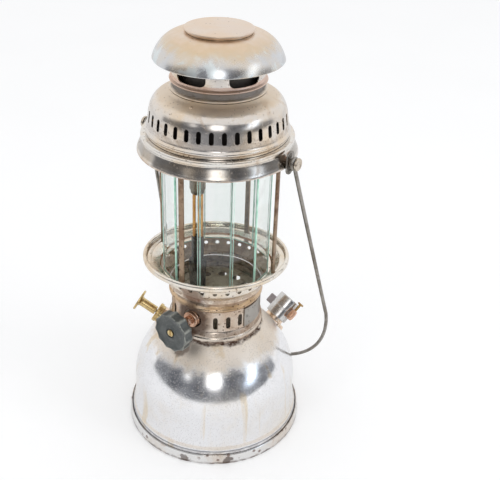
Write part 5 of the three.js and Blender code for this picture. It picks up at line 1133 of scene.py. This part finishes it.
gauge = dict(face=[(0, 21.1), (9.9, 21.1), (9.9, 21.9), (0, 21.9)], sides=72, tickCount=19, sweep=135, longEvery=3,
             longTick=2.4, shortTick=1.3, tickWidth=0.36, tickReach=8.9, tickRows=(21.85, 21.98, 0.03, 2),
             lens=[(0, 23.3), (9.9, 23.3), (9.9, 23.7, 0.2), (7, 23.95, 1), (0, 24)])
ticks = []
for i, spot in enumerate(np.linspace(-gauge["sweep"], gauge["sweep"], gauge["tickCount"])):
    length = gauge["shortTick"] if i % gauge["longEvery"] else gauge["longTick"]
    tick = shifted(prism(ovalOutline(gauge["tickWidth"], length, 0.1, 2), easedRows(*gauge["tickRows"])),
                   0, gauge["tickReach"] - length / 2)
    ticks.append(seated(tick, Matrix.Rotation(math.radians(spot), 4, "Z")))
addPiece("gauge_face", [spun(gauge["face"], gauge["sides"]), *ticks], [dialFinish, markFinish], "filler_cap",
         ["gauge_dial"], seat=fillerSeat, extra=[0] + [1] * len(ticks))
addPiece("gauge_window", [spun(gauge["lens"], gauge["sides"])], lensFinish, "filler_cap", ["gauge_lens"],
         seat=fillerSeat)
print("filler done")


# Bail

bail = dict(reach=75.15, bore=2.6, wire=1.75, halfWidth=93.3, leg=186.4, bow=107.8, tilt=17.098, legPower=1.05,
            legSteps=24, bowSteps=48, eyeSteps=40, wireSides=16)
bailSeat = (Matrix.Translation((0, 0, ears["height"])) @ Matrix.Rotation(math.radians(ears["azimuth"] - 90), 4, "Z")
            @ Matrix.Rotation(math.radians(bail["tilt"]), 4, "X"))
eyeRadius = bail["bore"] + bail["wire"]
legShare = np.linspace(0, 1, bail["legSteps"])[:-1]
legLine = np.stack([bail["reach"] + legShare ** bail["legPower"] * (bail["halfWidth"] - bail["reach"]), 0 * legShare,
                    -eyeRadius - legShare * (bail["leg"] - eyeRadius)], 1)
bowAngle = np.linspace(0, math.pi / 2, bail["bowSteps"])
bowLine = np.stack([bail["halfWidth"] * np.cos(bowAngle), 0 * bowAngle,
                    -bail["leg"] - bail["bow"] * np.sin(bowAngle)], 1)
oneSide = np.concatenate([legLine, bowLine[:-1]])
wirePath = np.concatenate([oneSide, bowLine[-1:], (oneSide * (-1, 1, 1))[::-1]])
eyeAngle = np.linspace(0, fullTurn, bail["eyeSteps"], endpoint=False)
eyes = [carried(np.stack([np.full(bail["eyeSteps"], side * bail["reach"]), eyeRadius * np.cos(eyeAngle),
                          eyeRadius * np.sin(eyeAngle)], 1), bail["wire"], (1, 0, 0), bail["wireSides"], joined=True)
        for side in (1, -1)]
addPiece("bail_wire", [carried(wirePath, bail["wire"], (0, 1, 0), bail["wireSides"]), *eyes], steelFinish, "bail",
         ["bail"], seat=bailSeat)
print("bail done")


# CAD nodes that stay, with their finishes

keptNodes = dict(pump_valve=brassFinish, pump_piston=leatherFinish, needle_rod=innerFinish, filler_gasket=rubberFinish,
                 gauge_pointer=markFinish)
for nodeName, finish in keptNodes.items():
    kept = bpy.data.objects[nodeName]
    kept.data.materials.clear()
    kept.data.materials.append(finish)


# Stage, lamps and camera

floorMaterial, floorTree, floorShader, floorVector = newMaterial("paleFloor")
floorCloud = useGroup(floorTree, patches, {"Vector": floorVector, "Scale": 3.0, "Start": 0.3, "Full": 0.8})
floorTree.links.new(blend(floorTree, floorCloud, (0.97, 0.97, 0.97, 1), (0.955, 0.955, 0.955, 1)),
                    floorShader.inputs["Base Color"])
floorShader.inputs["Roughness"].default_value = 0.9
floorShader.inputs["Specular IOR Level"].default_value = 0.0
seenPath = addNode(floorTree, "ShaderNodeLightPath").outputs["Is Camera Ray"]
floorTree.links.new(maths(floorTree, "MULTIPLY", seenPath, 0.07), floorShader.inputs["Emission Strength"])
floorShader.inputs["Emission Color"].default_value = (1, 1, 1, 1)
floorFront = -1.15  # the table ends there, so that the dim room shows low in the metal
floorMesh = bpy.data.meshes.new("floor")
floorMesh.from_pydata([(-9, floorFront, 0), (9, floorFront, 0), (9, 9, 0), (-9, 9, 0)], [], [(0, 1, 2, 3)])
floorMesh.materials.append(floorMaterial)
floor = bpy.data.objects.new("floor", floorMesh)
bpy.context.collection.objects.link(floor)

lamps = [dict(name="windowMiddle", azimuth=-1, elevation=27.5, distance=2.2, size=(0.62, 0.8), watts=6.5),
         dict(name="windowRight", azimuth=64, elevation=22, distance=2.4, size=(0.95, 0.75), watts=7.5),
         dict(name="windowLeft", azimuth=-42, elevation=25, distance=2.3, size=(0.34, 0.42), watts=2.2)]
for lamp in lamps:
    light = bpy.data.lights.new(lamp["name"], "AREA")
    light.shape, light.size, light.size_y, light.energy = "RECTANGLE", *lamp["size"], lamp["watts"]
    holder = bpy.data.objects.new(lamp["name"], light)
    azimuth, elevation = math.radians(lamp["azimuth"]), math.radians(lamp["elevation"])
    away = Vector((math.sin(azimuth) * math.cos(elevation), -math.cos(azimuth) * math.cos(elevation),
                   math.sin(elevation)))
    holder.location = away * lamp["distance"] + Vector((0, 0, 0.15))
    holder.rotation_euler = away.to_track_quat("Z", "Y").to_euler()
    holder.visible_glossy = False  # the metal shows the painted windows below instead
    bpy.context.collection.objects.link(holder)

# The room round the table: white below the table's horizon and above the walls, dim walls in front.
world = bpy.data.worlds.new("room")
bpy.context.scene.world = world
world.use_nodes = True
tree = world.node_tree
tree.nodes.clear()
direction = addNode(tree, "ShaderNodeTexCoord").outputs["Generated"]
parts = addNode(tree, "ShaderNodeSeparateXYZ", {"Vector": direction})
eastward, forward = parts.outputs["X"], maths(tree, "MULTIPLY", parts.outputs["Y"], -1.0)


def lengthOf(first, second):
    return maths(tree, "SQRT", maths(tree, "ADD", maths(tree, "POWER", first, 2.0), maths(tree, "POWER", second, 2.0)))


def beyond(value, half):
    return maths(tree, "MAXIMUM", maths(tree, "SUBTRACT", maths(tree, "ABSOLUTE", value), half), 0.0)


level = lengthOf(eastward, parts.outputs["Y"])
facing = maths(tree, "DIVIDE", forward, maths(tree, "MAXIMUM", level, 0.001))
elevation = maths(tree, "ARCTAN2", parts.outputs["Z"], level)
wallTop = maths(tree, "ADD", maths(tree, "MULTIPLY", maths(tree, "MAXIMUM", facing, 0.0), 0.47), 0.24)
overTable = spread(tree, elevation, -0.5, -0.4)
underTop = spread(tree, maths(tree, "SUBTRACT", wallTop, elevation), -0.08, 0.08)
inFront = spread(tree, facing, -0.2, -0.12)
dim = maths(tree, "MULTIPLY", maths(tree, "MULTIPLY", overTable, underTop), inFront)
walls = addNode(tree, "ShaderNodeTexNoise", {"Vector": direction, "Scale": 3.5, "Detail": 3.0})
wallTone = blend(tree, spread(tree, walls.outputs["Fac"], 0.35, 0.65), (0.13, 0.135, 0.15, 1), (0.3, 0.31, 0.33, 1))
room = blend(tree, dim, (1.0, 1.0, 1.0, 1), wallTone)

# Soft windows, in degrees: half is the half width and height of the evenly lit part, soft the fade round it.
bearing = maths(tree, "MULTIPLY", maths(tree, "ARCTAN2", eastward, forward), 180 / math.pi)
climb = maths(tree, "MULTIPLY", elevation, 180 / math.pi)
windows = [dict(azimuth=-1, elevation=26, half=(3, 2), soft=15, lean=0.0, light=(3.0, 3.0, 3.0, 1)),
           dict(azimuth=62, elevation=22, half=(3, 5), soft=13, lean=0.8, light=(2.0, 2.3, 2.7, 1)),
           dict(azimuth=-42, elevation=24, half=(1, 1), soft=9, lean=0.0, light=(1.2, 1.2, 1.2, 1))]
for window in windows:
    rising = maths(tree, "SUBTRACT", climb, window["elevation"])
    leant = maths(tree, "MULTIPLY", rising, window["lean"])
    aside = maths(tree, "SUBTRACT", maths(tree, "SUBTRACT", bearing, window["azimuth"]), leant)
    off = lengthOf(beyond(aside, window["half"][0]), beyond(rising, window["half"][1]))
    room = blend(tree, spread(tree, off, 0.0, window["soft"], 1.0, 0.0), room, window["light"])
path = addNode(tree, "ShaderNodeLightPath")
shown = maths(tree, "MAXIMUM", path.outputs["Is Camera Ray"], path.outputs["Is Transmission Ray"])
soft = blend(tree, shown, (0.88, 0.885, 0.895, 1), (1.0, 1.0, 1.0, 1))
light = blend(tree, path.outputs["Is Glossy Ray"], soft, room)
background = addNode(tree, "ShaderNodeBackground", {"Color": light, "Strength": 1.0})
output = addNode(tree, "ShaderNodeOutputWorld")
tree.links.new(background.outputs[0], output.inputs["Surface"])

view = dict(place=(0.0, -0.6454, 0.5836), pitch=30.68, yaw=2.76, roll=2.20, focal=808.0, imageWidth=500, sensor=36.0)
pitch, yaw, roll = (math.radians(view[key]) for key in ("pitch", "yaw", "roll"))
ahead = Vector((math.sin(yaw) * math.cos(pitch), math.cos(yaw) * math.cos(pitch), -math.sin(pitch)))
right = ahead.cross(Vector((0, 0, 1))).normalized()
up = right.cross(ahead)
right, up = math.cos(roll) * right + math.sin(roll) * up, math.cos(roll) * up - math.sin(roll) * right
cameraData = bpy.data.cameras.new("photoCamera")
cameraData.sensor_width = view["sensor"]
cameraData.lens = view["focal"] / view["imageWidth"] * view["sensor"]
cameraData.clip_start = 0.01
camera = bpy.data.objects.new("photoCamera", cameraData)
camera.matrix_world = Matrix.Translation(view["place"]) @ Matrix((right, up, -ahead)).transposed().to_4x4()
bpy.context.collection.objects.link(camera)
bpy.context.scene.camera = camera
bpy.context.scene.view_settings.view_transform = "Standard"
print("stage, lamps and camera done")
